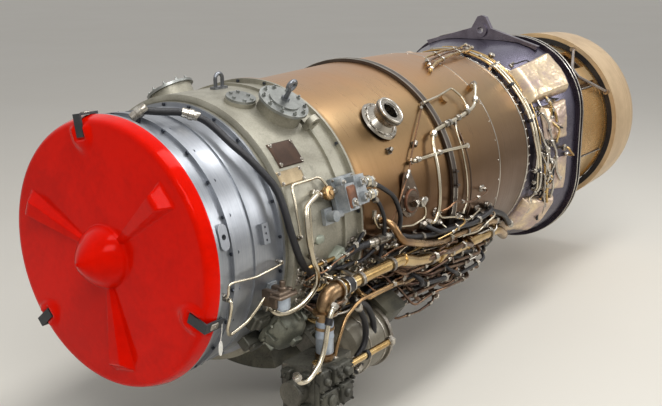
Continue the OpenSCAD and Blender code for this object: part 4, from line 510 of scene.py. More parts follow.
def skin_at(x: Number) -> Number:
    """Radius of the skin at a station, straight between the listed stations."""
    return np.interp(x, SKIN[:, 0], SKIN[:, 1])


def foot_at(x: float, r: float) -> float:
    """Radius at which a pipe of radius r ends just clear of the sloping skin."""
    return float(skin_at(x) + GAP + r * abs(skin_at(x + 5) - skin_at(x - 5)) / 10)


def pad_at(x: float) -> float:
    """Radius at which a pipe ends just clear of a boss on the skin."""
    return float(skin_at(x) + BOSS_HIGH + GAP)


def steps_of(path: np.ndarray) -> np.ndarray:
    """Lengths between one point of a line and the next."""
    return np.linalg.norm(np.diff(path, axis=0), axis=1)


def gone_at(path: np.ndarray) -> np.ndarray:
    """Length from a line's start to each of its points."""
    return np.concatenate([[0.0], np.cumsum(steps_of(path))])


def legs(x: float, r: float | Callable, rows: tuple, first: float | None = None,
         last: float | None = None) -> list:
    """Corners of a pipe from rows that count from a station and a radius.

    Args:
        x: Station that the rows count from.
        r: Radius that they count from, or the function that gives it for a station.
        rows: Rows of station, angle and radius.
        first: Radius of a foot under the first corner, where it has one.
        last: Radius of a foot under the last corner, where it has one.

    Returns:
        Rows of station, angle and radius.
    """
    made = [[x + dx, angle, (r(x + dx) if callable(r) else r) + high] for dx, angle, high in rows]
    head = [] if first is None else [[*made[0][:2], first]]
    tail = [] if last is None else [[*made[-1][:2], last]]
    return head + made + tail


def route(corners: list, cut: float, step: float = 9.0) -> np.ndarray:
    """Centre line of a pipe through corners of (station, angle, radius).

    Each corner P is a curve (1-t)^2 A + 2t(1-t) P + t^2 B, where A and B lie `cut`
    along the two legs. The whole line is then cut every `step` and turned to x, y, z.

    Args:
        corners: Rows of station, angle and radius.
        cut: Length taken off each leg at a corner.
        step: Distance between points.

    Returns:
        Points in millimetres, one row each.
    """
    p = np.asarray(corners, float)
    flat = np.array([1.0, DEG_MM, 1.0])
    spans = np.diff(p, axis=0)
    share = np.minimum(0.45, cut / np.maximum(np.linalg.norm(spans * flat, axis=1), 1e-6))
    a = p[1:-1] - spans[:-1] * share[:-1, None]
    b = p[1:-1] + spans[1:] * share[1:, None]
    t = np.linspace(0, 1, 7)[None, :, None]
    bends = (1 - t) ** 2 * a[:, None] + 2 * t * (1 - t) * p[1:-1][:, None] + t ** 2 * b[:, None]
    line = np.concatenate([p[:1], bends.reshape(-1, 3), p[-1:]])
    gone = gone_at(line * flat)
    marks = np.union1d(gone, np.arange(0.0, gone[-1], step))
    keep = np.concatenate([[True], np.diff(marks) > 1.2])
    keep[-1] = True
    return polar(*(np.interp(marks[keep], gone, line[:, k]) for k in range(3)))


@dataclass
class Patch:
    """Points in millimetres with faces of four and of three corners."""

    points: np.ndarray
    quads: np.ndarray
    tris: np.ndarray = field(default_factory=lambda: np.empty((0, 3), int))

    def outward(self) -> "Patch":
        """Turns every face outwards: the sum of p0 . (p1 x p2) over closed faces is made positive."""
        split = np.concatenate([self.quads[:, [0, 1, 2]], self.quads[:, [0, 2, 3]], self.tris])
        a, b, c = (self.points[split[:, k]] for k in range(3))
        if np.einsum("ij,ij->i", a, np.cross(b, c)).sum() < 0:
            self.quads = self.quads[:, ::-1]
            self.tris = self.tris[:, ::-1]
        return self

    def placed(self, frames: np.ndarray) -> "Patch":
        """Copies of this patch, one in each frame.

        Args:
            frames: Rows of 3 x 4 matrices; a point p goes to R p + t.

        Returns:
            One patch with all copies.
        """
        frames = np.asarray(frames, float).reshape(-1, 3, 4)
        moved = np.einsum("fij,pj->fpi", frames[:, :, :3], self.points) + frames[:, None, :, 3]
        shift = (np.arange(len(frames)) * len(self.points))[:, None, None]
        return Patch(moved.reshape(-1, 3), (self.quads[None] + shift).reshape(-1, 4),
                     (self.tris[None] + shift).reshape(-1, 3))

    def strung(self, path: np.ndarray, *marks: float) -> "Patch":
        """Copies of this patch on a line, at lengths from its start, or from its end if negative."""
        return self.placed(along(path, np.array(marks, float)))

    @staticmethod
    def swept(grid: np.ndarray, looped: bool = False) -> "Patch":
        """Closed skin through rings of points, shape (rings, corners, 3).

        Args:
            grid: One ring after another, each running round.
            looped: Whether the last ring joins the first; if not, both ends are closed by fans.

        Returns:
            The patch, its faces outwards.
        """
        rings, corners = grid.shape[:2]
        index = np.arange(rings * corners).reshape(rings, corners)
        rows = np.vstack([index, index[:1]]) if looped else index
        side = np.roll(rows, -1, axis=1)
        quads = np.stack([rows[:-1], side[:-1], side[1:], rows[1:]], axis=-1).reshape(-1, 4)
        points, tris = grid.reshape(-1, 3), np.empty((0, 3), int)
        if not looped:
            points = np.concatenate([points, grid[[0, -1]].mean(axis=1)])
            first, last = np.full(corners, rings * corners), np.full(corners, rings * corners + 1)
            tris = np.concatenate([np.stack([first, side[0], rows[0]], axis=-1),
                                   np.stack([last, rows[-1], side[-1]], axis=-1)])
        return Patch(points, quads, tris).outward()

    @staticmethod
    def slab(top: np.ndarray, bottom: np.ndarray) -> "Patch":
        """Closed sheet between two grids of the same shape (rows, columns, 3)."""
        count = top.shape[0] * top.shape[1]
        index = np.arange(count).reshape(top.shape[:2])
        faces = np.stack([index[:-1, :-1], index[:-1, 1:], index[1:, 1:], index[1:, :-1]], axis=-1)
        faces = faces.reshape(-1, 4)
        rim = np.concatenate([index[0, :-1], index[:-1, -1], index[-1, :0:-1], index[:0:-1, 0]])
        ahead = np.roll(rim, -1)
        edge = np.stack([rim, rim + count, ahead + count, ahead], axis=-1)
        return Patch(np.concatenate([top.reshape(-1, 3), bottom.reshape(-1, 3)]),
                     np.concatenate([faces, faces[:, ::-1] + count, edge])).outward()


def joined(*parts: "Patch | list[Patch]") -> Patch:
    """One patch of several, those in lists too, their faces renumbered."""
    patches = [p for part in parts for p in (part if isinstance(part, list) else [part])]
    starts = np.cumsum([0] + [len(p.points) for p in patches[:-1]])
    return Patch(np.concatenate([p.points for p in patches]),
                 np.concatenate([p.quads + s for p, s in zip(patches, starts)]),
                 np.concatenate([p.tris + s for p, s in zip(patches, starts)]))


def shifted(patch: Patch, x: float = 0.0, y: float = 0.0, z: float = 0.0) -> Patch:
    """The patch moved by x, y and z."""
    return Patch(patch.points + np.array([x, y, z]), patch.quads, patch.tris)


def spread(patch: Patch, xs: tuple, ys: tuple, z: float) -> list[Patch]:
    """Copies of a patch at every pair of x and y, all at height z."""
    return [shifted(patch, x, y, z) for x in xs for y in ys]


def laid(patch: Patch) -> Patch:
    """The patch turned so that its own Z lies along the engine: (x, y, z) goes to (z, y, -x)."""
    return Patch(patch.points[:, [2, 1, 0]] * np.array([1.0, 1.0, -1.0]), patch.quads, patch.tris)


def rosette(patch: Patch, count: int, radius: float, turn: float = 0.0) -> Patch:
    """Copies of a patch on a circle round the local Z, each turned to face outwards."""
    a = np.radians(turn) + np.arange(count) * 2 * np.pi / count
    zero, one = np.zeros(count), np.ones(count)
    rows = [[np.cos(a), np.sin(a), zero], [-np.sin(a), np.cos(a), zero], [zero, zero, one],
            [radius * np.cos(a), radius * np.sin(a), zero]]
    return patch.placed(np.stack([np.stack(row, -1) for row in rows], -1))


def tube(path: np.ndarray, radius: float, sides: int = 12) -> Patch:
    """Round bar along a line of points.

    Ring i is P_i + r (S_i cos a + U_i sin a), with S_i = T_i x F and U_i = T_i x S_i, where
    T is the tangent and F the one fixed direction that lies least along any tangent.

    Args:
        path: Points of the centre line.
        radius: Radius of the bar.
        sides: Corners of a ring.

    Returns:
        The closed bar.
    """
    tangent = unit(np.gradient(path, axis=0))
    count = 90
    n = np.arange(count) + 0.5
    height, turn = 1 - n / count, n * GOLDEN
    flat = np.sqrt(1 - height ** 2)
    tries = np.stack([flat * np.cos(turn), flat * np.sin(turn), height], axis=-1)
    fixed = tries[np.argmin(np.abs(tries @ tangent.T).max(axis=1))]
    side = unit(np.cross(tangent, fixed))
    other = np.cross(tangent, side)
    a = np.linspace(0, 2 * np.pi, sides, endpoint=False)[None, :, None]
    return Patch.swept(path[:, None] + radius * (side[:, None] * np.cos(a) + other[:, None] * np.sin(a)))


def turned(outline: list, sides: int = 16) -> Patch:
    """Part turned round its own Z: ring i has radius r_i at height h_i.

    Args:
        outline: Rows of radius and height, from the bottom to the top.
        sides: Corners of a ring; 6 gives a nut.

    Returns:
        The closed part.
    """
    rows = np.asarray(outline, float)
    a = np.linspace(0, 2 * np.pi, sides, endpoint=False)
    ring = np.broadcast_arrays(rows[:, :1] * np.cos(a), rows[:, :1] * np.sin(a), rows[:, 1:])
    return Patch.swept(np.stack(ring, axis=-1))


def sleeve(inner: float, outer: float, half: float, chamfer: float, sides: int) -> Patch:
    """Collar round a pipe, its middle at the origin: it narrows to the inner radius at both ends."""
    flat = half - chamfer
    return turned([[inner, -half], [outer, -flat], [outer, flat], [inner, half]], sides)


def ring_band(x: float, r: float, outline: tuple) -> Patch:
    """Closed outline of rows that count from a station and a radius, carried round the engine's axis."""
    rows = np.asarray(outline, float)
    angles = np.linspace(0, 360, RING_STEPS, endpoint=False)[:, None]
    return Patch.swept(polar(x + rows[:, 0], angles, r + rows[:, 1]), looped=True)


def torus(radius: float, thick: float, height: float = 0.0) -> Patch:
    """Ring of round section: ((R + t cos b) cos a, (R + t cos b) sin a, h + t sin b)."""
    a = np.linspace(0, 2 * np.pi, 48, endpoint=False)[:, None]
    b = np.linspace(0, 2 * np.pi, 10, endpoint=False)[None, :]
    far = radius + thick * np.cos(b)
    ring = np.broadcast_arrays(far * np.cos(a), far * np.sin(a), height + thick * np.sin(b))
    return Patch.swept(np.stack(ring, -1), True)


def block(half_x: float, half_y: float, high: float, corner: float = 6.0) -> Patch:
    """Box standing on the origin, with round corners and a soft upper edge.

    Args:
        half_x: Half its length.
        half_y: Half its width.
        high: Height.
        corner: Radius of the upright corners.

    Returns:
        The closed box.
    """
    steps = 5
    a = (np.arange(4)[:, None] * np.pi / 2 + np.radians(np.linspace(0, 90, steps))).ravel()
    outline = np.stack([np.repeat([1, -1, -1, 1], steps) * (half_x - corner) + corner * np.cos(a),
                        np.repeat([1, 1, -1, -1], steps) * (half_y - corner) + corner * np.sin(a)], -1)
    top = 1 - 2.2 / min(half_x, half_y)
    levels = np.array([[0, 1], [high - 3, 1], [high - 0.9, (1 + top) / 2], [high, top]])
    flat = levels[:, 1:, None] * outline
    tall = np.broadcast_to(levels[:, :1, None], (*flat.shape[:2], 1))
    return Patch.swept(np.concatenate([flat, tall], axis=-1))


def stand(x: Number, angle: Number, radius: Number, turn: Number = 0.0) -> np.ndarray:
    """Frames standing on a casing: local Z points out, local X along the engine.

    Args:
        x: Stations.
        angle: Angles from the top towards port.
        radius: Radii of the feet.
        turn: Turn about the local Z in degrees.

    Returns:
        Rows of 3 x 4 matrices.
    """
    given = (np.atleast_1d(np.asarray(v, float)) for v in (x, angle, radius, turn))
    x, angle, radius, turn = np.broadcast_arrays(*given)
    a, t = np.radians(angle), np.radians(turn)[:, None]
    zero = np.zeros_like(a)
    ahead = np.stack([np.ones_like(a), zero, zero], axis=-1)
    aside = np.stack([zero, np.cos(a), np.sin(a)], axis=-1)
    out = np.stack([zero, -np.sin(a), np.cos(a)], axis=-1)
    first = ahead * np.cos(t) + aside * np.sin(t)
    second = aside * np.cos(t) - ahead * np.sin(t)
    return np.stack([first, second, out, polar(x, angle, radius)], axis=-1)


def along(path: np.ndarray, marks: np.ndarray) -> np.ndarray:
    """Frames on a line at lengths from its start (from its end if negative), local Z along it."""
    gone = gone_at(path)
    marks = np.where(marks < 0, gone[-1] + marks, marks)
    spot, ahead = (np.stack([np.interp(marks, gone, rows[:, k]) for k in range(3)], axis=-1)
                   for rows in (path, np.gradient(path, axis=0)))
    z = unit(ahead)
    x = unit(np.cross(z, np.array([0.31, 0.52, 0.79])))
    return np.stack([x, np.cross(z, x), z, spot], axis=-1)


def frame_at(axes: np.ndarray, *spot: float) -> np.ndarray:
    """Frame of the given axes at a place of x, y and z."""
    return np.concatenate([axes, np.reshape(spot, (3, 1))], axis=1)


def shelf(x: tuple[float, float], angle: tuple[float, float], radius: float, thick: float,
          bevel: float, rows: int = 24, columns: int = 32) -> Patch:
    """Panel bent round the casing between two stations and two angles.

    The face stands at radius + thick e, where e rises from 0.35 at the border to 1 over
    the bevel, and the back lies at the radius.

    Args:
        x: First and last station.
        angle: First and last angle.
        radius: Radius of the back.
        thick: Thickness.
        bevel: Width of the rounded border.
        rows: Stations.
        columns: Angles.

    Returns:
        The closed panel.
    """
    u, v = np.meshgrid(np.linspace(0, 1, rows), np.linspace(0, 1, columns), indexing="ij")
    long, wide = x[1] - x[0], angle[1] - angle[0]
    border = np.minimum(np.minimum(u, 1 - u) * abs(long), np.minimum(v, 1 - v) * abs(wide) * DEG_MM)
    rise = 0.35 + 0.65 * np.clip(border / bevel, 0, 1) ** 0.5
    x, a = x[0] + long * u, angle[0] + wide * v
    return Patch.slab(polar(x, a, radius + thick * rise), polar(x, a, radius))


def ridges(u: np.ndarray, v: np.ndarray, seed: int) -> np.ndarray:
    """Crumpled height from -1 to 1: |sin| ridges along turned directions, finer and lower by octaves."""
    rng = np.random.default_rng(seed)
    count = 9
    turn, phase = (rng.uniform(0, top, count)[:, None, None] for top in (np.pi, 6))
    scale = (2.2 ** (np.arange(count) // 3))[:, None, None]
    wave = np.abs(np.sin(scale * (np.cos(turn) * u + np.sin(turn) * v) + phase
                         + 0.7 * np.sin(1.7 * scale * v)))
    return ((0.6 - wave) / scale).sum(axis=0) / (1 / scale).sum()


def nut(radius: float, length: float) -> Patch:
    """Six-sided coupling nut with a collar, its middle at the origin and its length along Z."""
    half = length / 2
    hexagon = [[radius * 0.9, -half], [radius, -half + 1], [radius, half * 0.35],
               [radius * 0.9, half * 0.45]]
    collar = [[radius * 0.72, half * 0.3], [radius * 0.78, half * 0.5], [radius * 0.78, half],
              [radius * 0.7, half]]
    return joined(turned(hexagon, 6), turned(collar, 14))


def stud(radius: float, height: float) -> Patch:
    """Bolt head on a washer, standing on the origin."""
    return joined(turned([[radius * 1.45, 0], [radius * 1.45, 1.2], [radius * 1.3, 1.5]], 16),
                  turned([[radius, 1.0], [radius, height - 1], [radius * 0.86, height]], 6))


def rivet(radius: float, height: float) -> Patch:
    """Domed rivet head standing on the origin."""
    a = np.radians([0, 30, 60, 85])
    return turned(np.stack([radius * np.cos(a), height * np.sin(a)], axis=-1), 10)


def square_r(angle: np.ndarray, half: float, corner: float) -> np.ndarray:
    """Radius of a square with round corners: h / cos b on the flats, the corner's arc past them."""
    c = half - corner
    b = np.radians(np.minimum(angle % 90, 90 - angle % 90))
    flat = half / np.cos(b)
    arc = c * (np.cos(b) + np.sin(b)) + np.sqrt(np.maximum(corner ** 2 - c * c * (1 - np.sin(2 * b)), 0))
    return np.where(flat * np.sin(b) <= c, flat, arc)


def fairing_r(x: Number, angle: Number) -> np.ndarray:
    """Radius of the rear fairing, eased from the round rim to the frame's rounded square."""
    f = np.clip((np.asarray(x, float) - TAIL_X) / (SEAL_X - TAIL_X), 0, 1)
    s = f * f * (3 - 2 * f)
    return (RIM_R + 2) * (1 - s) + square_r(np.asarray(angle, float), SEAL_HALF - 14, 268.0) * s


def soft_max(a: np.ndarray, b: np.ndarray, width: float) -> np.ndarray:
    """The larger of two heights with a fillet: max(a, b) + max(w - |a - b|, 0)^2 / 4w."""
    return np.maximum(a, b) + np.maximum(width - np.abs(a - b), 0) ** 2 / (4 * width)


def soft_min(a: np.ndarray, b: np.ndarray, width: float) -> np.ndarray:
    """The smaller of two heights with a fillet."""
    return -soft_max(-a, -b, width)


class Shop:
    """Turns patches into objects of the scene with their finish and body."""

    def __init__(self, finishes: Finishes) -> None:
        """Keeps the finishes and counts what is made."""
        self.finishes = finishes
        self.count = 0

    def make(self, name: str, patches: "Patch | list[Patch]", finish: Finish,
             replaces: tuple[str, ...] = (), body: str = "engine", sharp: float = 38.0) -> None:
        """Makes one piece, in metres.

        Args:
            name: Name of the object.
            patches: Its surfaces, in millimetres.
            finish: Its finish.
            replaces: Solid nodes that it stands for.
            body: Body that it rides on.
            sharp: Angle in degrees past which an edge stays sharp.
        """
        whole = joined(patches)
        mesh = bpy.data.meshes.new(name)
        mesh.vertices.add(len(whole.points))
        mesh.vertices.foreach_set("co", (whole.points * MM).astype(np.float32).ravel())
        corners = np.concatenate([whole.quads.ravel(), whole.tris.ravel()]).astype(np.int32)
        mesh.loops.add(len(corners))
        mesh.loops.foreach_set("vertex_index", corners)
        fours = len(whole.quads)
        starts = np.concatenate([np.arange(fours) * 4, fours * 4 + np.arange(len(whole.tris)) * 3])
        mesh.polygons.add(len(starts))
        mesh.polygons.foreach_set("loop_start", starts.astype(np.int32))
        mesh.update(calc_edges=True)
        mesh.validate()
        mesh.shade_smooth()
        mesh.set_sharp_from_angle(angle=math.radians(sharp))
        mesh.materials.append(self.finishes.get(finish))
        piece = bpy.data.objects.new(name, mesh)
        bpy.context.scene.collection.objects.link(piece)
        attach(piece, body)
        if replaces:
            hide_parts(*replaces)
        self.count += 1
        log.info("%s: %d points, %d faces", name, len(whole.points), len(starts))


# ---------------------------------------------------------------- sub-assemblies

# Axes of frames: upright, upside down, turned back to front, facing port and facing forward
UPRIGHT, FLIPPED, BACKWARD = np.eye(3), np.diag([1.0, -1.0, -1.0]), np.diag([-1.0, -1.0, 1.0])
PORTWARD = np.array([[1.0, 0, 0], [0, 0, -1.0], [0, 1.0, 0]])
FORWARD = np.array([[0, 0, -1.0], [1.0, 0, 0], [0, -1.0, 0]])


@dataclass
class Pipework:
    """Pipes and hoses along the port side, with their nuts, sleeves and clips."""

    gold_r: float = 15.0
    oil_r: float = 10.0
    hose_r: float = 9.0
    thin_r: float = 2.5
    loop_r: float = 3.2
    line_r: float = DUCT_R + 17

    def hose(self) -> list:
        """Corners of the large hose round the fan casing."""
        return legs(MID_X, MID_R, (
            (-192, 10, -1), (-148, 15, -2), (-96, 17, -4), (-66, 24, -5), (-62, 40, -5), (-32, 55, 1),
            (-14, 63, 6), (-8, 80, 8), (10, 90, 11), (44, 98, 13), (84, 103, 14), (150, 101, 14),
            (220, 98, 15), (262, 96, 26), (308, 96, 31), (336, 96, 31)), first=FAN_R - 3 + GAP)

    def belly(self) -> list:
        """Corners of the hose that follows the main pipe."""
        return legs(CONE_X, DUCT_R, (
            (53, 96, 14), (110, 96, 14), (210, 101, 20), (330, 104.5, 20), (453, 105.5, 20), (581, 106, 18),
            (729, 107, 18), (829, 112, 22), (899, 119, 28), (953, 123, 24)), last=pad_at(CONE_X + 953))

    def gold(self) -> list:
        """Corners of the main air pipe."""
        return legs(CONE_X, DUCT_R, (
            (-194, 103, 65), (-8, 103, 65), (92, 103, 65), (195, 108, 60), (383, 114, 50), (470, 115, 46),
            (656, 117, 38), (811, 119, 36), (909, 126, 36), (949, 130, 34)), last=pad_at(CONE_X + 949))

    def oil(self) -> list[tuple[list, float, float]]:
        """Corners, radius and corner cut of the two oil pipes."""
        first = legs(CONE_X, DUCT_R, (
            (71, 89, 34), (84, 96, 62), (222, 102, 56), (392, 109, 32), (471, 109, 30), (617, 111, 28),
            (734, 112, 26), (779, 114, 26)), foot_at(CONE_X + 71, self.oil_r), pad_at(CONE_X + 779))
        second = legs(CONE_X, DUCT_R, (
            (40, 121, 38), (80, 120, 40), (200, 120, 40), (250, 124, 38), (453, 124, 30), (719, 126, 24),
            (889, 132, 20), (915, 134, 20)), foot_at(CONE_X + 40, self.oil_r), pad_at(CONE_X + 915))
        return [(first, self.oil_r, 30.0), (second, self.oil_r - 2, 30.0)]

    def fuel(self) -> list[tuple[list, float, float]]:
        """Corners, radius and corner cut of the fuel pipes on the fan and intermediate casings."""
        fan, rim, middle = FAN_R + GAP, FAN_R - 3 + GAP, MID_R + GAP
        return [
            (legs(MID_X, MID_R, (
                (110, 70, 24), (60, 72, 28), (32, 74, 32), (26, 84, 32), (36, 92, 34), (60, 98, 37),
                (62, 104, 38), (20, 110, 36), (-20, 112, 28), (-44, 112, 16)), middle, fan), 7.0, 24.0),
            (legs(MID_X, MID_R, (
                (20, 84, 14), (20, 74, 14), (30, 64, 14), (140, 64, 16), (154, 71, 26),
                (174 - GAP, 71, 27)), middle), 3.5, 14.0),
            (legs(MID_X, MID_R, (
                (-210, 98, -8), (-212, 93, -8), (-198, 92.5, -8), (-118, 94, -7), (-58, 93, -5),
                (-22, 92.5, -7)), rim, fan), 3.0, 12.0),
            (legs(MID_X, MID_R, (
                (-198, 100, -7), (-196, 112, -5), (-178, 117, -5), (-128, 113, -3), (-84, 104, -3),
                (-49 - GAP, 104, -5)), rim), 4.0, 14.0)]

    def sense(self) -> list[tuple[list, float, float]]:
        """Corners, radius and corner cut of the bright pipes over the clamp band and on the fairing."""
        duct = DUCT_R + GAP
        return [
            (legs(REAR_X, self.line_r, (
                (291, 43, 10), (213, 54, 0), (100, 57, 0), (1, 58.5, 0), (-78, 60, 0), (-113, 66, 0),
                (-119, 80, 0), (-123, 94, 0), (-149, 99, 4)),
                pad_at(REAR_X + 291), foot_at(REAR_X - 149, 6)), 6.0, 26.0),
            (legs(REAR_X, self.line_r, ((-217, 69.5, 0), (-59, 69.5, 0), (82, 70.5, 0)),
                  foot_at(REAR_X - 217, 5), duct), 5.0, 14.0),
            (legs(REAR_X, self.line_r, (
                (62, 58, -1), (54, 64, -8), (58, 76, -10), (66, 88, -11), (66, 97, -8), (44, 101, -4)),
                last=duct), 3.0, 12.0),
            (legs(REAR_X, self.line_r, ((-40, 46, -1), (60, 44.5, -1), (160, 42, -1), (178, 48, -1),
                                        (170, 55, -1)), float(skin_at(REAR_X - 40)) + GAP), 3.5, 10.0),
            (legs(TAIL_X, DUCT_R, (
                (10, 31, 2), (20, 46, -6), (26, 66, -8), (24, 78, -6), (40, 90, -4), (60, 102, -2),
                (80, 110, 4)), RIM_R + 8, RIM_R + 12), 6.0, 20.0)]

    def thin(self) -> list:
        """Corners of the thin copper line over the front duct."""
        return legs(0, skin_at, (
            (943, 47, 8), (852, 57.3, 8), (788, 66, 9), (745, 73.6, 12), (690, 79.6, 20), (627, 91, 24),
            (606, 97, 20)), foot_at(943, 3), foot_at(606, 3))

    def loop(self) -> list:
        """Corners of the bright line that loops round the hatch fitting."""
        return legs(0, skin_at, (
            (522.6, 83, 44), (522.6, 86, 40), (554.5, 91.1, 32), (735.9, 96.2, 22), (799.4, 94.9, 20),
            (789.8, 89.8, 24), (745, 87.6, 36)))

    @staticmethod
    def _nuts(path: np.ndarray, radius: float, *marks: float) -> Patch:
        """Coupling nuts on a pipe of the given radius at lengths from its ends."""
        return nut(radius * 1.55 + 1.2, 15 + radius * 0.7).strung(path, *marks)

    def build(self, shop: Shop) -> None:
        """Makes the hoses, the main pipe and its band, the other pipes and then all nuts."""
        hose, belly = route(self.hose(), 26), route(self.belly(), 30)
        for name, path, node in (("large_hose", hose, "black_hose"), ("belly_hose", belly, "belly_hoses")):
            shop.make(name, tube(path, self.hose_r, 16), HOSE, (node,))
        fitting = turned([[9.6, -22], [11.5, -20], [11.5, -6], [13.5, -5], [13.5, 6], [11, 7], [11, 20],
                          [9.6, 22]], 18)
        shop.make("hose_fittings", [fitting.strung(hose, 24, 150, -30), fitting.strung(belly, 24, -24)],
                  NUT)
        gold = route(self.gold(), 34)
        shop.make("main_air_pipe", [tube(gold, self.gold_r, 24), tube(gold[88:124], self.gold_r + 2.6, 24),
                                    sleeve(15.6, 17.6, 36, 2, 24).strung(gold, 330),
                                    sleeve(15.5, 19.5, 5, 1.5, 24).strung(gold, 560, 760)],
                  GOLD, ("gold_pipe",))
        rims = joined([shifted(sleeve(15.4, 21.8, 2.5, 0.9, 28), z=h) for h in (-12.5, 12.5)])
        shop.make("main_pipe_band", sleeve(15.4, 20.5, 11, 1, 28).strung(gold, 34), HOSE)
        shop.make("main_pipe_rims", rims.strung(gold, 34), BRIGHT)
        paths = []
        for name, runs, sides, finish, slot in (("oil_pipe", self.oil(), 16, BROWN, "gold_tube"),
                                                ("fuel_pipe", self.fuel(), 14, SILVER, "silver_tube"),
                                                ("sense_pipe", self.sense(), 12, SILVER, "silver_tube")):
            found = [(route(corners, cut), r) for corners, r, cut in runs]
            shop.make(name + "_runs", [tube(p, r, sides) for p, r in found], finish, (name + "s",))
            paths.append(found)
        thin, loop = route(self.thin(), 10), route(self.loop(), 16)
        shop.make("thin_copper_line", tube(thin, self.thin_r, 8), COPPER)
        shop.make("loop_line", tube(loop, self.loop_r, 12), SILVER)
        first, second = paths[-1][:2]
        shop.make("pipe_nuts", [self._nuts(loop, self.loop_r, 6, -6)]
                  + [self._nuts(p, r, 9, -9) for found in paths for p, r in found]
                  + [self._nuts(*first, 92, 250, 330, 420), self._nuts(*second, 30, 150),
                     self._nuts(thin, self.thin_r, 12, 268, 284, -12)], NUT)


@dataclass
class Cover:
    """Moulded cover over the intake: a face with dome, wedge ribs and strap blisters."""

    deep: float = 33.0
    dome_r: float = 76.0
    dome_high: float = 84.0
    rib_r: float = 276.0
    rib_low: float = 9.0
    rib_high: float = 31.0
    rib_angle: float = 50.0
    strap_angle: float = -11.0
    blister_r: float = 292.0
    wall: float = 4.0

    @staticmethod
    def _seen(r: np.ndarray, angle: np.ndarray) -> tuple[np.ndarray, np.ndarray]:
        """Distance of places along the line at angle 0, and away from it."""
        a = np.radians(angle)
        return r * np.cos(a), np.abs(r * np.sin(a))

    def _rise(self, r: np.ndarray, angle: np.ndarray) -> np.ndarray:
        """Height over the flat face.

        With t = r / R the dome is H sqrt(1 - t^2) (1 - 0.42 t), a blunt point. A wedge is
        the lowest of its rising back, its two drafted sides and its tip. A blister is a
        flat ellipse with a bed cut for the strap.

        Args:
            r: Radii.
            angle: Angles from the top towards port.

        Returns:
            Heights in millimetres.
        """
        t = np.clip(r / self.dome_r, 0, 1)
        inside = self.dome_high * np.sqrt(1 - t ** 2) * (1 - 0.42 * t)
        rise = soft_max(np.zeros_like(r), np.where(r < self.dome_r, inside, (self.dome_r - r) * 2), 7.0)
        for k in range(3):
            ahead, across = self._seen(r, angle - self.rib_angle - 120 * k)
            back = self.rib_low + (self.rib_high - self.rib_low) * (ahead - self.dome_r) / (
                self.rib_r - 14 - self.dome_r)
            half = 10 + 23 * (ahead - self.dome_r) / (self.rib_r - self.dome_r)
            wedge = soft_min(back, (half - across) * 2.6, 2.4)
            wedge = soft_min(wedge, (self.rib_r - ahead) * 1.3, 2.4)
            rise = soft_max(rise, np.where(ahead > 0, wedge, -50.0), 4.0)
            ahead, across = self._seen(r, angle - self.strap_angle - 120 * k)
            blister = 15 * (1 - ((ahead - self.blister_r) / 46) ** 2 - (across / 36) ** 2)
            bed = np.maximum((across - 13) * 1.6, (self.blister_r - 15 - ahead) * 1.6)
            blister = np.minimum(soft_min(blister, np.full_like(r, 9.0), 6.0), np.maximum(bed, 0))
            fade = np.clip((312 - r) / 8, 0, 1)
            rise = soft_max(rise, np.where(ahead > 0, blister, -50.0) * fade, 2.5)
        return rise

    def build(self, shop: Shop) -> None:
        """Makes the cover's skin, the gate mark at its centre and the strap clips."""
        radii = np.unique(np.concatenate([np.linspace(1.5, 72, 16), [74, 75.2, 76, 77, 79, 83],
                                          np.linspace(90, 250, 17), np.linspace(255, 306, 15)]))
        angle = np.linspace(0, 360, 480, endpoint=False)
        r, a = np.meshgrid(radii, angle)
        rise = self._rise(r, a)
        rise = rise - self._rise(np.array([200.0]), np.array([self.rib_angle + 60]))[0]
        edge = np.array([[311, -32.7], [315, -31.4], [318.4, -28.8], [321, -25], [324, -17], [326.4, -9],
                         [328, -3], [328, 0], [317.5, 0], [317.5, -5], [310, -25]])
        edge_r, edge_x = (np.broadcast_to(edge[:, k], (len(angle), len(edge))) for k in range(2))
        station = np.concatenate([-self.deep - rise, edge_x, (-self.deep + self.wall - rise)[:, ::-1]], 1)
        radius = np.concatenate([r, edge_r, r[:, ::-1]], 1)
        skin = Patch.swept(polar(station, angle[:, None], radius), looped=True)
        gate = laid(turned([[4.5, -1], [4.5, 0.4], [3, 1.2]], 20))
        gate = gate.placed(frame_at(BACKWARD, -self.deep - self.dome_high, 0, 0))
        shop.make("cover_moulding", [skin, gate], RED, ("intake_cover",), sharp=50)
        angles = self.strap_angle + np.array([0.0, 120, 240])
        plate = joined(block(12, 9, 5.5, 4), shifted(rivet(3.2, 2.0), z=5.3))
        shop.make("strap_clips", plate.placed(stand(-10.0, angles, FLANGE_R + 3.0)), CLIP)


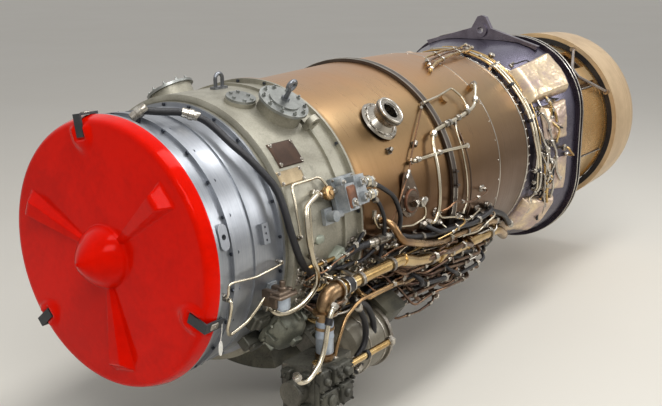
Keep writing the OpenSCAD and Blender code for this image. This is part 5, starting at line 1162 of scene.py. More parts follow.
@dataclass
class CasingParts:
    """Plates, knob, bracket and screws on the intermediate casing, and the valve block's fittings."""

    block_x: float = CONE_X - 66
    block_angle: float = 73.5
    knob_x: float = 372.0
    knob_angle: float = 71.0
    base: float = MID_R + GAP

    def build(self, shop: Shop) -> None:
        """Makes plates, screws and fittings, then the knob, the leads and the bracket."""
        for name, along_x, sides, thick, finish in (
                ("dark_plate", (262, 354), (45.3, 56.2), 4.0, BARE_BROWN),
                ("tan_plate", (240, 332), (57.4, 63.4), 3.2, BARE_TAN)):
            shop.make(name, shelf(along_x, sides, self.base, thick, 3.0), finish)
        x, angle = np.array([[268, 46.4], [348, 46.4], [268, 55.1], [348, 55.1],
                             [247, 58.3], [325, 58.3], [247, 62.5], [325, 62.5]]).T
        screws = stud(3.4, 4.4).placed(stand(x, angle, self.base + np.repeat([3.8, 3.0], 4)))
        pads = ((-24, -24, 52), (20, 22, 58), (20, -16, 60))
        boss = joined([shifted(rosette(stud(2.2, 3.0), 4, 9.0, 45), *q) for q in pads],
                      [shifted(stud(4.2, 7), *q) for q in (*pads, (-30, 32, 34))],
                      spread(stud(3.0, 5), (-44, 40), (-41, 41), 12))
        on_block = stand(self.block_x, self.block_angle, self.base + 7)
        rear = laid(stud(3.6, 6)).placed(stand(MID_X + 18.2, np.arange(0, 360, 7.5) + 3.75, MID_R - 8.5))
        shop.make("casing_screws", [screws, boss.placed(on_block), rear], NUT)
        plug = joined(turned([[11.6, 0], [12.4, 1], [12.4, 5], [11.6, 6]], 20),
                      turned([[14.4, 14], [15.4, 15], [15.4, 27], [14.4, 28]], 12),
                      turned([[9.4, 44], [10.4, 45], [10.4, 50], [9.2, 51]], 6))
        rings = joined(spread(laid(plug), (42,), (-18, 16), 34))
        shop.make("connector_rings", rings.placed(on_block), SILVER)
        cap = joined(shifted(block(3, 33, 26, 2), 44.6, 3, 15), shifted(block(17, 28, 5, 5), -24, -7, 45))
        shop.make("valve_panels", cap.placed(on_block), RUST)
        stem = turned([[11, 0], [11, 6], [7, 7], [7, 15], [17, 16], [18.5, 18], [18.5, 27], [16.5, 30],
                       [7, 31], [6, 34]], 28)
        x, angle = self.knob_x, self.knob_angle
        shop.make("brass_knob", stem.placed(stand(x, angle, self.base)), BRASS)
        pipe = route(legs(0, self.base, (
            (x - 12, angle, 14), (x - 26, angle, 14), (330, 69.5, 22), (298, 72, 16), (291, 82, 12),
            (293, 93, 12)), last=self.base), 16, 5)
        lead, second = (route(legs(CONE_X, MID_R, rows), 22, 6) for rows in (
            ((8, 72, 44), (40, 74, 46), (110, 80, 40), (150, 90, 34), (140, 99, 30), (140, 99, 8)),
            ((8, 78, 44), (34, 80, 42), (60, 88, 40), (64, 100, 34), (64, 110, 30), (64, 110, 4))))
        shop.make("knob_pipe", tube(pipe, 4.5, 12), SILVER)
        shop.make("connector_leads", [tube(lead, 6.5, 12), tube(second, 5.5, 12)], HOSE)
        shop.make("pipe_collars", [nut(9, 16).strung(pipe, 10, -10), nut(10.5, 18).strung(lead, 12, -12),
                                   nut(9.5, 16).strung(second, 12, -12)], NUT)
        bracket = joined(block(26, 15, 20, 12), shifted(block(12, 12, 26, 8), x=-8),
                         shifted(stud(6, 8), 12, 0, 20), shifted(stud(5, 7), -8, 0, 26))
        shop.make("green_bracket", [bracket.placed(stand(404, 97.5, MID_R - 1, 35)),
                                    block(16, 10, 12, 8).placed(stand(332, 88, MID_R - 1))],
                  BRACKET)


@dataclass
class DuctParts:
    """Dressing of the two ducts: port ring and screws, band beads, rivets and thin lines."""

    port_x: float = CONE_X + 214
    port_angle: float = 48.0
    bore: float = 31.0
    hatch_x: float = CONE_X + 232

    def build(self, shop: Shop) -> None:
        """Makes rings, screws, beads, rivets and lines."""
        foot = stand(self.port_x, self.port_angle, skin_at(self.port_x))
        rings = [torus(self.bore + wide, thick, high).placed(foot)
                 for wide, thick, high in ((7.5, 4.2, 53.5), (17, 1.8, 9.6), (-5.5, 1.2, 50.0))]
        shop.make("port_ring", rings, BRIGHT)
        plate = stand(self.hatch_x, 86.0, skin_at(self.hatch_x))
        dish = turned([[31, 5.2], [33, 6], [33, 12], [31, 14], [29, 13], [27, 9], [14, 7.5], [14, 5.2]], 36)
        shop.make("hatch_dish", dish.placed(plate), RUST)
        cross = joined(spread(laid(nut(11, 14)), (-22, 22), (0,), 36.4),
                       shifted(turned([[12.5, 0], [13.5, 1], [13.5, 5], [12, 6]], 20), z=44),
                       rosette(shifted(stud(3.2, 4), z=5.2), 7, 38.5), shifted(stud(3.2, 4), -8, 72, 5.0))
        screws = rosette(shifted(stud(3.4, 4.6), z=8.6), 12, 52)
        shop.make("port_screws", [screws.placed(foot), cross.placed(plate)], NUT)
        beads = [ring_band(x, HOOP_R, ((0, -1), (3.4, -1), (3.0, 1.4), (0.4, 1.4)))
                 for x in (HOOP_X, HOOP_X + 22.6)]
        seams = [ring_band(x, r, ((0, -1), (5, -1), (4, 0.9), (1, 0.9))) for x, r in (
            (REAR_X + 298, DUCT_R), (TAIL_X - 37, float(skin_at(TAIL_X - 34)) + 1.6))]
        shop.make("band_edges", beads + seams, BRIGHT)
        angles = np.arange(0, 360, 5.0) + 2.5
        heads = [rivet(3.0, 2.2).placed(stand(TAIL_X + dx, angles, r))
                 for dx, r in ((-26, 344.9), (-9, 340.6))]
        heads.append(rivet(2.4, 1.6).placed(stand(REAR_X + 290, angles[::2], DUCT_R - 0.2)))
        shop.make("rim_rivets", heads, BRIGHT)
        dark = route(legs(0, DUCT_R, (
            (1038, 58, 8), (1062, 60, 8), (1074, 77, 8), (1083, 99, 8), (1079, 107, 8)),
            DUCT_R + GAP, DUCT_R + GAP), 12, 5)
        shop.make("dark_line", tube(dark, 2.4, 8), HOT)
        lines = [(self._top(k), r) for k, r in enumerate((5.0, 3.5, 4.2))]
        shop.make("top_gold_lines", [tube(p, r, 12) for p, r in lines[::2]], GOLD)
        shop.make("top_red_line", tube(*lines[1], 12), COPPER)
        shop.make("top_line_nuts", [nut(r * 1.6 + 1, 14).strung(p, 14, 150, 330, -14) for p, r in lines]
                  + [nut(5.5, 12).strung(dark, 9, -9)], NUT)

    @staticmethod
    def _top(k: int) -> np.ndarray:
        """Centre line of the kth of three lines side by side along the top."""
        end_x, end_angle = 1646 + 14 * k, 10 - 3 * k
        return route(legs(0, DUCT_R, (
            (1170 + 18 * k, 27 - 3 * k, 9 + 3 * k), (1240, 23 - 3.2 * k, 12), (1400, 18 - 3 * k, 10),
            (1500 + 20 * k, 15 - 3 * k, 4), (1600, 12 - 3 * k, -2), (end_x, end_angle, 2)),
            DUCT_R + GAP, float(fairing_r(end_x, end_angle)) + 1), 18, 7)


@dataclass
class RearParts:
    """Foil units, seal beads, jet pipe panels and pipes of the rear end."""

    blanket_x: float = SEAL_X + 58
    blanket_r: float = 313.15
    foot: float = 1.5
    foils: tuple = ((34, 250, 38, 60, 58), (26, 200, 116, 142, 34), (34, 220, -62, -40, 48),
                    (98, 236, 63, 83, 20), (120, 250, 94, 112, 16))

    def _foil(self, x0: float, x1: float, a0: float, a1: float, high: float, seed: int) -> Patch:
        """One unit wrapped in foil.

        Height = 2 + (0.97 h (1 - 0.35 u) - 2) (0.1 + 0.9 e) + 10 c (0.2 + 0.8 e), where u runs
        from 0 in front to 1 behind, e is an eased border and c the crumpled height.

        Args:
            x0: First station behind the rim.
            x1: Last station behind the rim.
            a0: First angle.
            a1: Last angle.
            high: Height.
            seed: Number that picks the folds.

        Returns:
            The closed unit.
        """
        u, v = np.meshgrid(np.linspace(0, 1, 96), np.linspace(0, 1, 72), indexing="ij")
        x, a = TAIL_X + x0 + (x1 - x0) * u, a0 + (a1 - a0) * v
        border = np.minimum(np.minimum(u, 1 - u) * (x1 - x0), np.minimum(v, 1 - v) * (a1 - a0) * DEG_MM)
        ease = 1 - (1 - np.clip(border / 20, 0, 1)) ** 2.4
        fold = ridges(u * (x1 - x0) / 34 + seed, v * (a1 - a0) * DEG_MM / 34, seed)
        base = fairing_r(x, a)
        swell = (high * (1 - 0.35 * u) * 0.97 - 2) * (0.10 + 0.90 * ease)
        top = base + 2 + swell + 10.0 * fold * (0.2 + 0.8 * ease)
        return Patch.slab(polar(x, a, top), polar(x, a, base + 0.8))

    def _landed(self, rows: list) -> list:
        """The corners with a foot on the fairing added under the first and the last."""
        feet = [[x, a, float(fairing_r(x, a)) + self.foot] for x, a, _ in (rows[0], rows[-1])]
        return [feet[0], *rows, feet[1]]

    @staticmethod
    def _set(part: Patch, x: np.ndarray, angle: np.ndarray, high: float) -> Patch:
        """Copies of a part standing on the fairing, at the given height over it."""
        return part.placed(stand(x, angle, fairing_r(x, angle) + high))

    def _lines(self, shop: Shop) -> None:
        """Makes the small lines, clips and brackets scattered over the fairing.

        Each short line leaves the fairing, goes along and round it in steps of chance and
        lands again. The five long ones run round it behind the rim.

        Args:
            shop: Where pieces are made.
        """
        rng = np.random.default_rng(23)
        made: dict[str, list[Patch]] = {"gold": [], "steel": [], "dark": [], "nuts": [], "feet": []}
        steps = 5
        for k in range(20):
            start, first = rng.uniform(TAIL_X + 24, TAIL_X + 120), rng.uniform(16, 128)
            x = np.clip(start + np.cumsum(rng.uniform(-8, 34, steps)), TAIL_X + 16, SEAL_X - 46)
            a = np.clip(first + np.cumsum(rng.uniform(2, 9, steps)) * (1 if first < 110 else -1), 12, 138)
            r = fairing_r(x, a) + rng.uniform(9, 30, steps)
            rows = self._landed([[x[0], a[0] - 1, r[0]], *zip(x, a, r), [x[-1] + 9, a[-1], r[-1]]])
            radius = rng.uniform(2.4, 5.0)
            path = route(rows, 10, 6)
            made[("gold", "steel", "steel", "dark")[k % 4]].append(tube(path, radius, 9))
            made["nuts"].append(nut(radius * 1.6 + 1.4, 12).strung(path, 8, steps_of(path).sum() * 0.5, -8))
            ends = np.array([rows[0], rows[-1]])
            made["feet"].append(self._set(block(9, 8, 8, 4), ends[:, 0], ends[:, 1], -2.5))
        rounds = ((-18, 64, "gold", 4.2), (-12, 98, "steel", 5.0), (-6, 52, "gold", 3.4),
                  (2, 106, "dark", 4.4), (8, 84, "gold", 3.0))
        for k, (first, last, finish, radius) in enumerate(rounds):
            a = np.linspace(first, last, 7)
            x = TAIL_X + 15 + 9 * k + np.concatenate([[0], rng.uniform(-4, 4, 5), [0]])
            path = route(self._landed(list(zip(x, a, fairing_r(x, a) + 11 + 4 * (k % 3)))), 12, 6)
            made[finish].append(tube(path, radius, 10))
            marks = steps_of(path).sum() * np.array([0.02, 0.3, 0.62, 0.98])
            made["nuts"].append(nut(8.5, 13).strung(path, *marks))
        for name, finish, slot in (("gold", GOLD, "gold_tube"), ("steel", BRIGHT, "silver_tube"),
                                   ("dark", HOSE, "black_rubber"), ("nuts", NUT, "silver_tube"),
                                   ("feet", CLIP, "silver_tube")):
            shop.make("fairing_" + name, made[name], finish)

    def _highlight_bead(self, station: float) -> Patch:
        """Bright bead that follows the seal frame's outline at a station; its bright steel is a painted
        highlight on the frame's dark bead.
        """
        a = np.linspace(0, 360, 240, endpoint=False)[:, None]
        b = np.linspace(0, 2 * np.pi, 8, endpoint=False)
        r = square_r(a, SEAL_HALF, 276.0) - 0.6 + 2.0 * np.sin(b)
        return Patch.swept(polar(station + 2.4 * np.cos(b), a, r), looped=True)

    def _panels(self, shop: Shop) -> None:
        """Makes the panels round the jet pipe with their straps, end rings, a black ring of painted shadow
        in the sleeve's front lip, and rivets.
        """
        x0, x1, r = self.blanket_x, SLEEVE_X - 8, self.blanket_r
        wide = (x0 + 6, x1 - 3)
        sheets = [shelf(wide, sides, r, 1.6, 6, 60, 60) for sides in ((59, 107), (-107, -59))]
        shop.make("stippled_panels", sheets, BLANKET)
        shop.make("cream_panel", shelf(wide, (-23.4, 23.4), r + 2, 1.6, 8, 40, 60), CREAM_PANEL)
        shop.make("panel_straps", [shelf((x0 + 4, x1), (a, a + 1.7), r - low, 3.4 + low, 2, 40, 5)
                                   for a, low in ((57.6, 0), (107.0, 4), (-59.3, 0), (-108.7, 4))],
                  SEAL)
        # Black ring on the sleeve's front lip is painted shadow: it stands for the shade inside the
        # sleeve's front edge
        shop.make("shadow_lip", ring_band(SLEEVE_X, 0, (
            (-1.2, 320.5), (-1.2, 341), (-0.3, 341), (-0.3, 333.6), (4, 333.6), (4, 320.5))),
            HOSE, body="sleeve")
        shop.make("panel_end", ring_band(SLEEVE_X, 0, (
            (-6.2, 302), (-6.2, 314.6), (2, 316.8), (17, 316.8), (17, 302))), BLANKET)
        marks = np.linspace(x0 + 14, x1 - 12, 30)
        beads = [rivet(2.6, 2.2).placed(stand(marks, a, r + 3.2)) for a in (58.45, 107.85, -58.45, -107.85)]
        ends = np.concatenate([np.arange(60, 107, 3.2), np.arange(-21, 22, 3.5)])
        over = np.where(np.abs(ends) < 30, 3.4, 1.4)
        beads.append(rivet(2.2, 1.6).placed(stand(x0 + 12, ends, r + over)))
        shop.make("panel_rivets", beads, NUT)

    def build(self, shop: Shop) -> None:
        """Makes foil units, beads, panels, pipes and clips."""
        units = [self._foil(*f, seed=3 + n) for n, f in enumerate(self.foils)]
        shop.make("foil_units", units, FOIL, ("foil_boxes",), sharp=70)
        # Bright beads along the seal frame are painted highlights on its dark beads
        shop.make("seal_highlight_beads", [self._highlight_bead(SEAL_X + 13), self._highlight_bead(SEAL_X + 38)], BRIGHT)
        self._panels(shop)
        twin = route(legs(TAIL_X, DUCT_R, (
            (-6, 31, 0), (4, 46, -8), (10, 66, -10), (8, 78, -8), (24, 90, -6), (44, 101, -4),
            (62, 110, 2)),
            RIM_R + 5, float(fairing_r(TAIL_X + 62, 110)) + self.foot), 18, 7)
        shop.make("twin_pipe", tube(twin, 5.0, 12), SILVER)
        shop.make("twin_clips", sleeve(7.5, 11, 6, 1, 16).strung(twin, 110, 250, 430), HOSE)
        knob = turned([[8, 0], [8, 5], [5, 6], [5, 16], [11, 18], [12.5, 21], [12.5, 28], [9, 32],
                       [3, 33]], 22)
        x, angle = TAIL_X + np.array([76, 190, 60.0]), np.array([86.5, 88.0, 24.0])
        shop.make("fairing_knobs", self._set(knob, x, angle, -1.0), NUT)
        base, end = (float(fairing_r(TAIL_X + dx, a)) for dx, a in ((190, 88), (236, 93)))
        stub = route(legs(TAIL_X, 0, (
            (190, 88, base + 34), (190, 88, base + 40), (200, 90, 404), (236, 93, 404)),
            last=end + 1), 10, 5)
        shop.make("fairing_stub", tube(stub, 4.0, 12), GOLD)
        self._lines(shop)
        shop.make("twin_nuts", [nut(9.5, 16).strung(twin, 10, -10), nut(7.5, 12).strung(stub, -9)],
                  NUT)


@dataclass
class BellyParts:
    """What crowds the lower port side: small pipes, hoses, castings and control units.

    Groups are rows of name, finish, slot, count and range of radii. The ranges for their
    pipes give station, angle and length. Named pipes are corners of station, angle and
    radius, and units are places of station and angle.
    """

    unit_x: float = MID_X + 34 - 72
    unit_y: float = -MID_R - 93
    leg_x: float = MID_X + 34
    drum_x: float = CONE_X + 94 - 150
    seed: int = 7
    in_front: int = 3
    usual_high: float = 38.0
    heights: dict = field(default_factory=lambda: {
        "bronze_runs": 78.0, "steel_low": 78.0, "hung_runs": 112.0, "hung_hoses": 112.0})
    groups: tuple = (
        ("steel_runs", SILVER, "silver_tube", 9, (2.6, 4.6)),
        ("gold_runs", GOLD, "gold_tube", 7, (3.0, 5.5)),
        ("copper_runs", COPPER, "gold_tube", 4, (2.4, 3.6)),
        ("hose_runs", HOSE, "black_rubber", 7, (4.5, 7.5)),
        ("bronze_runs", BRONZE, "elbow_bronze", 16, (2.8, 6.5)),
        ("steel_low", BRIGHT, "silver_tube", 5, (2.6, 4.0)),
        ("far_runs", BROWN, "gold_tube", 9, (3.0, 6.0)),
        ("far_hoses", HOSE, "black_rubber", 3, (5.0, 7.5)),
        ("hung_runs", BRONZE, "elbow_bronze", 8, (3.5, 7.5)),
        ("hung_hoses", HOSE, "black_rubber", 4, (5.0, 8.0)))
    usual: tuple = ((MID_X + 110, CONE_X + 420), (94, 132), (150, 420))
    front: tuple = ((MID_X + 20, MID_X + 150), (96, 118), (80, 190))
    deep: tuple = ((CONE_X + 60, CONE_X + 560), (112, 134), (200, 460))
    hung: tuple = ((CONE_X + 120, CONE_X + 460), (116, 134), (180, 420))
    curved: tuple = (
        (257, 103.4, 465), (237, 105, 468), (221, 109.5, 480), (213, 114.1, 495), (190, 117.8, 511),
        (151, 120, 522), (114, 119.4, 519), (103, 116.6, 506))
    lower: tuple = (
        (527, 123.5, 527), (334, 123.3, 526), (242, 123.5, 528), (202, 121.2, 514), (194, 117.9, 498))
    riser: tuple = (
        (553, 108.5, 454), (391, 108.3, 453), (326, 111.5, 462), (293, 117.9, 486), (280, 121.8, 506))
    loops: tuple = (
        ((441, 114.5, 409), (506, 118.3, 422), (545, 125.2, 455), (536, 131.1, 494), (457, 135.1, 527)),
        ((435, 114.3, 426), (454, 116.9, 435), (482, 122.2, 458), (478, 127.8, 491), (410, 130.8, 513)))
    units: tuple = (
        (178, 119), (206, 134), (340, 118), (372, 133), (452, 116), (640, 130), (716, 126), (800, 134),
        (900, 129), (1040, 131), (1130, 127), (1230, 133), (1330, 129), (330, -122), (430, -131),
        (760, -127), (1010, -133), (1260, -129))

    def _centre(self) -> np.ndarray:
        """Place where the elbow turns down."""
        return polar(self.leg_x, 103.0, MID_R + 82)

    def _castings(self, leg_z: float) -> list[Patch]:
        """Bosses, ribs and screws on the outer and front faces of the control unit under the elbow's leg.

        Args:
            leg_z: Height of the unit's top.

        Returns:
            The blocks and their screws.
        """
        rng = np.random.default_rng(self.seed)
        made = []
        for x, z, half_x, half_z, high, corner in (
                (24, -30, 20, 26, 18, 8), (66, -26, 16, 22, 26, 7), (112, -34, 26, 22, 14, 9),
                (40, -82, 30, 24, 22, 10), (104, -86, 24, 26, 24, 12), (136, -60, 10, 34, 10, 5),
                (8, -70, 7, 40, 12, 4)):
            tall = 8 + rng.uniform(0, 6)
            boss = turned([[half_x * 0.5, 0], [half_x * 0.5, 5], [half_x * 0.36, tall]], 20)
            heads = spread(stud(2.8, 4.5), (5 - half_x, half_x - 5), (5 - half_z, half_z - 5), high - 0.5)
            whole = joined(block(half_x, half_z, high, corner), heads, shifted(boss, z=high - 0.5))
            made.append(whole.placed(frame_at(PORTWARD, self.unit_x + x, self.unit_y + 0.5, leg_z + z)))
        for y, z, half_y, half_z, high in ((20, -22, 14, 15, 12), (74, -22, 14, 13, 16),
                                           (20, -100, 15, 14, 14), (74, -101, 13, 12, 10)):
            heads = spread(stud(2.4, 4), (5 - half_y, half_y - 5), (5 - half_z, half_z - 5), high - 0.5)
            whole = joined(block(half_y, half_z, high, 6), shifted(stud(5, 7), z=high - 0.5), heads)
            made.append(whole.placed(frame_at(FORWARD, self.unit_x + 0.5, self.unit_y + y, leg_z + z)))
        return made

    def _wander(self, rng: np.random.Generator, x: float, angle: float, run: float, far: float) -> list:
        """Corners of one small pipe that leaves the skin, runs aft in steps and lands again.

        Args:
            rng: Source of the chance steps.
            x: Station of its first foot.
            angle: Angle of its first foot.
            run: Length along the engine.
            far: Greatest height over the skin.

        Returns:
            Rows of station, angle and radius.
        """
        steps = rng.integers(2, 5)
        stations = x + run * np.sort(np.concatenate([[0.06, 0.94], rng.uniform(0.12, 0.88, steps)]))
        angles = np.clip(angle + np.cumsum(rng.uniform(-3.5, 4.5, steps + 2)), 90, 143)
        rise = rng.uniform(far * 0.3, far) + rng.uniform(-7, 7, steps + 2) + 4
        end = x + run
        return legs(0, 0, ((x, angle, skin_at(x) + 14), *zip(stations, angles, skin_at(stations) + rise),
                           (end, angles[-1], skin_at(end) + 14)), foot_at(x, 4), foot_at(end, 4))

    def _draws(self, name: str, extra: bool) -> list[tuple]:
        """The ranges that one pipe of a group is drawn from in turn, the last of which stands."""
        ranges = [self.usual]
        if extra:
            ranges.append(self.front)
        elif name in ("bronze_runs", "steel_low"):
            ranges.append(self.deep)
        return ranges + [self.hung] if name.startswith("hung") else ranges

    def build(self, shop: Shop) -> None:
        """Makes the small pipes by group, their nuts and feet, then the larger pieces."""
        rng = np.random.default_rng(self.seed)
        nuts, feet = [], []
        for name, finish, slot, count, sizes in self.groups:
            high = self.heights.get(name, self.usual_high)
            side = np.array([1, -1 if name.startswith("far") else 1, 1])
            parts = []
            for k in range(count + self.in_front):
                for ranges in self._draws(name, k >= count):
                    x, angle, run = (rng.uniform(*ends) for ends in ranges)
                radius = rng.uniform(*sizes)
                path = route(self._wander(rng, x, angle, min(run, TAIL_X - 60 - x), high), 22, 7) * side
                length = steps_of(path).sum()
                parts.append(tube(path, radius, 10))
                nuts.append(nut(radius * 1.6 + 1.2, 13).strung(path, 9, length * 0.38, length * 0.7, -9))
                feet += [path[0], path[-1]]
            shop.make(name, parts, finish)
        shop.make("run_nuts", nuts, NUT)
        x, y, z = np.array(feet).T
        pad = joined(block(13, 10, 6, 5), spread(stud(2.6, 4), (9, -9), (0,), 5.5))
        shop.make("run_feet", pad.placed(stand(x, np.degrees(np.arctan2(-y, z)), skin_at(x) - 1.5)),
                  CLIP)
        self._named(shop)
        self._can(shop)
        self._units(shop, rng)
        self._elbow(shop)

    def _named(self, shop: Shop) -> None:
        """Makes the pipes and hoses that stand out in front of the drum, with their clips and nuts."""
        curved, lower, riser = (route(c, 22, 6) for c in (self.curved, self.lower, self.riser))
        loops = [route(c, 24, 6) for c in self.loops]
        shop.make("leg_pipe", tube(curved, 6.0, 14), SILVER)
        shop.make("lower_pipe", tube(lower, 9.0, 16), GOLD)
        shop.make("riser_pipe", tube(riser, 4.5, 12), BROWN)
        shop.make("drum_hoses", [tube(p, 8.5, 14) for p in loops], HOSE)
        shop.make("leg_clips", [sleeve(6.2, 9.5, 9, 1, 18).strung(curved, 46),
                                sleeve(9.2, 12, 6, 1, 18).strung(lower, 120)], HOSE)
        sizes = ((curved, 10.5, 16, 9), (lower, 14.5, 20, 12), (riser, 8.5, 14, 8),
                 *((p, 12.5, 22, 14) for p in loops))
        shop.make("named_nuts", [nut(r, long).strung(path, mark, -mark) for path, r, long, mark in sizes],
                  NUT)

    def _can(self, shop: Shop) -> None:
        """Makes the small hanging can with its mounting, and the round housing behind it."""
        spot = (166.0, -368.0, -78.0)
        can = turned([[17, -2], [17.5, 2], [17.5, 26], [15, 33], [9, 37], [3, 38]], 26)
        shop.make("hanging_can", can.placed(frame_at(FLIPPED, *spot)), PALE)
        plates = joined(block(34, 20, 7, 8), shifted(block(22, 15, 8, 6), -6, 0, 6.5),
                        shifted(turned([[11, 0], [11, 8], [7, 10], [7, 22], [5, 24]], 20), -2, 0, 13),
                        shifted(turned([[9, 0], [9, 6], [6, 8]], 20), 22, 0, 6.5),
                        spread(stud(3, 5), (-27, 29), (-13, 13), 6.5),
                        spread(block(7, 22, 40, 4), (-16, 18), (24,), -26))
        shop.make("can_plates", plates.placed(frame_at(UPRIGHT, *spot)), HATCH)
        dome = turned([[66, 0], [66, 9], [58, 12], [53, 34], [46, 48], [30, 57], [12, 60], [10, 70],
                       [6, 71]], 40)
        house = joined(dome, rosette(shifted(stud(4.2, 7), z=9), 16, 61),
                       rosette(shifted(block(7, 3, 30, 2), z=12), 8, 54),
                       shifted(block(16, 12, 20, 8), z=50))
        shop.make("round_housing", house.placed(stand(262, 125, MID_R - 6)), BRACKET_DARK)

    def _units(self, shop: Shop, rng: np.random.Generator) -> None:
        """Makes the castings, the boxes on the belly and the drum's bands and bolts."""
        shop.make("unit_bosses", self._castings(float(self._centre()[2]) - 160), LUMP)
        boxes = []
        for x, angle in self.units:
            half_x, half_y, high = rng.uniform(20, 36), rng.uniform(15, 24), rng.uniform(20, 44)
            box = joined(block(half_x, half_y, high, 6),
                         shifted(block(half_x * 0.6, half_y * 0.7, 10, 5), z=high - 1),
                         rosette(shifted(stud(3, 5), z=high - 0.5), 4, min(half_x, half_y) - 1, 45))
            boxes.append(box.placed(stand(x, angle, skin_at(x) - 4, rng.uniform(-12, 12))))
        shop.make("belly_units", boxes, LUMP)
        _, y, z = polar(0.0, 137.0, MID_R + 24 + 80)
        bands = [laid(torus(84.2, 2.6, h)).placed(frame_at(UPRIGHT, self.drum_x, y, z)) for h in (50, 120)]
        bolts = laid(rosette(stud(4, 6), 10, 56)).placed(frame_at(BACKWARD, self.drum_x + 20, y, z))
        shop.make("drum_bands", bands + [bolts], NUT)

    def _elbow(self, shop: Shop) -> None:
        """Makes the pale leg under the elbow and the screws and beads of its flanges."""
        x, y, z = self._centre()
        leg = turned([[20.3, 62], [21.6, 64], [21.6, 96], [22.8, 98], [22.8, 102], [21.6, 104], [21.6, 140],
                      [20.3, 142]], 28)
        shop.make("pale_leg", leg.placed(frame_at(FLIPPED, x, y, z)), PALE)
        shop.make("elbow_screws", [rosette(stud(2.6, 4), 8, 25.5).placed(frame_at(FLIPPED, x, y, z - 44)),
                                   torus(25.6, 2.4).placed(frame_at(FLIPPED, x, y, z - 41)),
                                   shifted(laid(torus(25.4, 2.2)), x + 53, y, z)], NUT)


@dataclass
class Studio:
    """Floor, lamps, world and camera, in metres."""

    eye: tuple[float, float, float] = (-1.4746, -1.6739, 0.6804)
    ahead: tuple[float, float, float] = (0.7882, 0.5626, -0.2494)
    lens: float = 52.67
    sensor: float = 36.0
    floor_low: float = -0.62
    floor_half: float = 60.0

    def build(self) -> None:
        """Makes the room and the camera."""
        self._world()
        self._floor()
        self._lamp("key", (-2.6, -3.2, 3.4), (0.6, 0.0, 0.0), 2.6, 1.6, 120.0)
        self._lamp("ceiling", (1.2, -0.9, 3.2), (1.2, 0.0, 0.2), 4.5, 0.9, 95.0)
        self._lamp("side", (3.2, -3.6, 1.6), (1.2, 0.0, 0.0), 2.0, 1.6, 45.0)
        self._camera()

    def _world(self) -> None:
        """Even grey light; rays from the camera and from gloss see a pale room, brightest overhead."""
        world = bpy.data.worlds.new("studio")
        bpy.context.scene.world = world
        world.use_nodes = True
        world.node_tree.nodes.clear()
        graph = Graph(world.node_tree)
        toward = graph.node("ShaderNodeTexCoord", {}, {}).outputs["Generated"]
        height = graph.parts(toward)[2] * 0.5 + 0.5
        seen = graph.ramp(height, [
            (0.0, (0.35, 0.33, 0.31)), (0.5, (0.55, 0.53, 0.50)), (0.62, (0.62, 0.61, 0.59)),
            (0.8, (0.9, 0.9, 0.9)), (1.0, (1.0, 1.0, 1.0))])
        rays = graph.node("ShaderNodeLightPath", {}, {})
        camera, gloss, through = (Value(graph, rays.outputs[f"Is {kind} Ray"])
                                  for kind in ("Camera", "Glossy", "Transmission"))
        share = graph.math("MAXIMUM", graph.math("MAXIMUM", camera, gloss), through)
        colour = graph.mix(share, (0.42, 0.42, 0.43), seen)
        light = graph.node("ShaderNodeBackground", {}, {"Color": colour, "Strength": 1.0})
        graph.node("ShaderNodeOutputWorld", {}, {"Surface": light.outputs[0]})

    def _floor(self) -> None:
        """Wide plain floor just under the engine."""
        mesh = bpy.data.meshes.new("floor")
        corners = [(x * self.floor_half, y * self.floor_half, self.floor_low)
                   for x, y in ((-1, -1), (1, -1), (1, 1), (-1, 1))]
        mesh.from_pydata(corners, [], [(0, 1, 2, 3)])
        material = bpy.data.materials.new("floor_paint")
        material.use_nodes = True
        shader = material.node_tree.nodes["Principled BSDF"]
        graph = Graph(material.node_tree)
        clouds = graph.noise(graph.place(), 0.8, 3.0)
        paint = graph.mix(clouds, srgb("#dad6cc"), srgb("#d3cec3"))
        graph.tree.links.new(paint, shader.inputs["Base Color"])
        shader.inputs["Roughness"].default_value = 0.6
        mesh.materials.append(material)
        floor = bpy.data.objects.new("floor", mesh)
        bpy.context.scene.collection.objects.link(floor)
        floor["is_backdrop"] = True

    @staticmethod
    def _hang(name: str, data: bpy.types.ID, spot: tuple, back: np.ndarray) -> bpy.types.Object:
        """Adds a lamp or camera at a spot, its back to the given direction and its top up."""
        made = bpy.data.objects.new(name, data)
        side = unit(np.cross([0.0, 0.0, 1.0], back))
        axes = np.stack([side, np.cross(back, side), back, spot], axis=-1)
        made.matrix_world = Matrix(np.vstack([axes, [0, 0, 0, 1]]).tolist())
        bpy.context.scene.collection.objects.link(made)
        return made

    def _lamp(self, name: str, spot: tuple, aim: tuple, width: float, high: float, power: float) -> None:
        """Adds one soft rectangular lamp that looks from spot to aim."""
        data = bpy.data.lights.new(name, "AREA")
        data.shape = "RECTANGLE"
        data.size, data.size_y, data.energy = width, high, power
        self._hang(name, data, spot, unit(np.array(spot) - np.array(aim)))

    def _camera(self) -> None:
        """Adds the camera at the photograph's place."""
        data = bpy.data.cameras.new("camera")
        data.sensor_fit, data.sensor_width, data.lens = "HORIZONTAL", self.sensor, self.lens
        bpy.context.scene.camera = self._hang("camera", data, self.eye, -unit(np.array(self.ahead)))


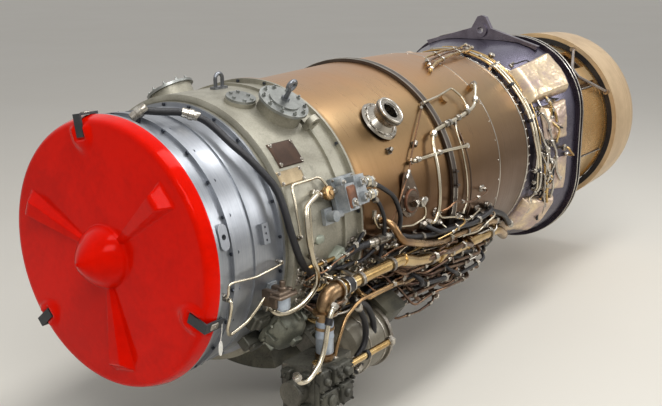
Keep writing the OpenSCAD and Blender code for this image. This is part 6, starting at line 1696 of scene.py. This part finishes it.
@dataclass
class Solids:
    """The solid nodes of the frame, dressed and shaded smooth."""

    weld: float = 2e-5
    sharp: float = 32.0

    def dress(self, nodes: dict, finishes: Finishes) -> None:
        """Gives every node its finish and a smoothing modifier.

        Args:
            nodes: Objects of the frame by name.
            finishes: Where finishes are made.
        """
        group = self._smoothing()
        for name, node in nodes.items():
            finish = NODE_FINISH.get(name, PETAL)
            node.data.materials.clear()
            node.data.materials.append(finishes.get(finish))
            smooth = node.modifiers.new("smooth", "NODES")
            smooth.node_group = group
            log.info("node %s: %s", name, finish.name)

    def _smoothing(self) -> bpy.types.NodeTree:
        """Geometry nodes that merge loose corners and shade smooth up to the sharp angle."""
        tree = bpy.data.node_groups.new("smooth_skin", "GeometryNodeTree")
        for way in ("INPUT", "OUTPUT"):
            tree.interface.new_socket("Geometry", in_out=way, socket_type="NodeSocketGeometry")
        graph = Graph(tree)
        start = graph.node("NodeGroupInput", {}, {})
        merged = graph.node("GeometryNodeMergeByDistance", {},
                            {"Geometry": start.outputs[0], "Distance": self.weld})
        smooth = graph.node("GeometryNodeSetShadeSmooth", {"domain": "FACE"},
                            {"Geometry": merged.outputs[0], "Shade Smooth": True})
        angle = graph.node("GeometryNodeInputMeshEdgeAngle", {}, {})
        soft = graph.node("FunctionNodeCompare", {"data_type": "FLOAT", "operation": "LESS_THAN"},
                          {0: angle.outputs["Unsigned Angle"], 1: math.radians(self.sharp)})
        edges = graph.node("GeometryNodeSetShadeSmooth", {"domain": "EDGE"},
                           {"Geometry": smooth.outputs[0], "Shade Smooth": soft.outputs[0]})
        graph.node("NodeGroupOutput", {}, {0: edges.outputs[0]})
        return tree


def box_rows() -> list[list[float]]:
    """The whole object's box as plain lists."""
    return [[float(c) for c in corner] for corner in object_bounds()]


def main() -> None:
    """Builds the scene in order."""
    logging.basicConfig(level=logging.INFO, format="%(message)s")
    cad_box = box_rows()
    bpy.context.scene.view_settings.view_transform = "Standard"
    finishes = Finishes()
    Solids().dress(frame["nodes"], finishes)
    shop = Shop(finishes)
    for assembly in (Cover(), CasingParts(), Pipework(), DuctParts(), RearParts(), BellyParts()):
        assembly.build(shop)
    low = min(cad_box[0][2], cad_box[1][2])
    Studio(floor_low=low - 0.002).build()
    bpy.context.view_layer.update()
    log.info("%d pieces made", shop.count)


if __name__ == "__main__":
    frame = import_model()
    main()
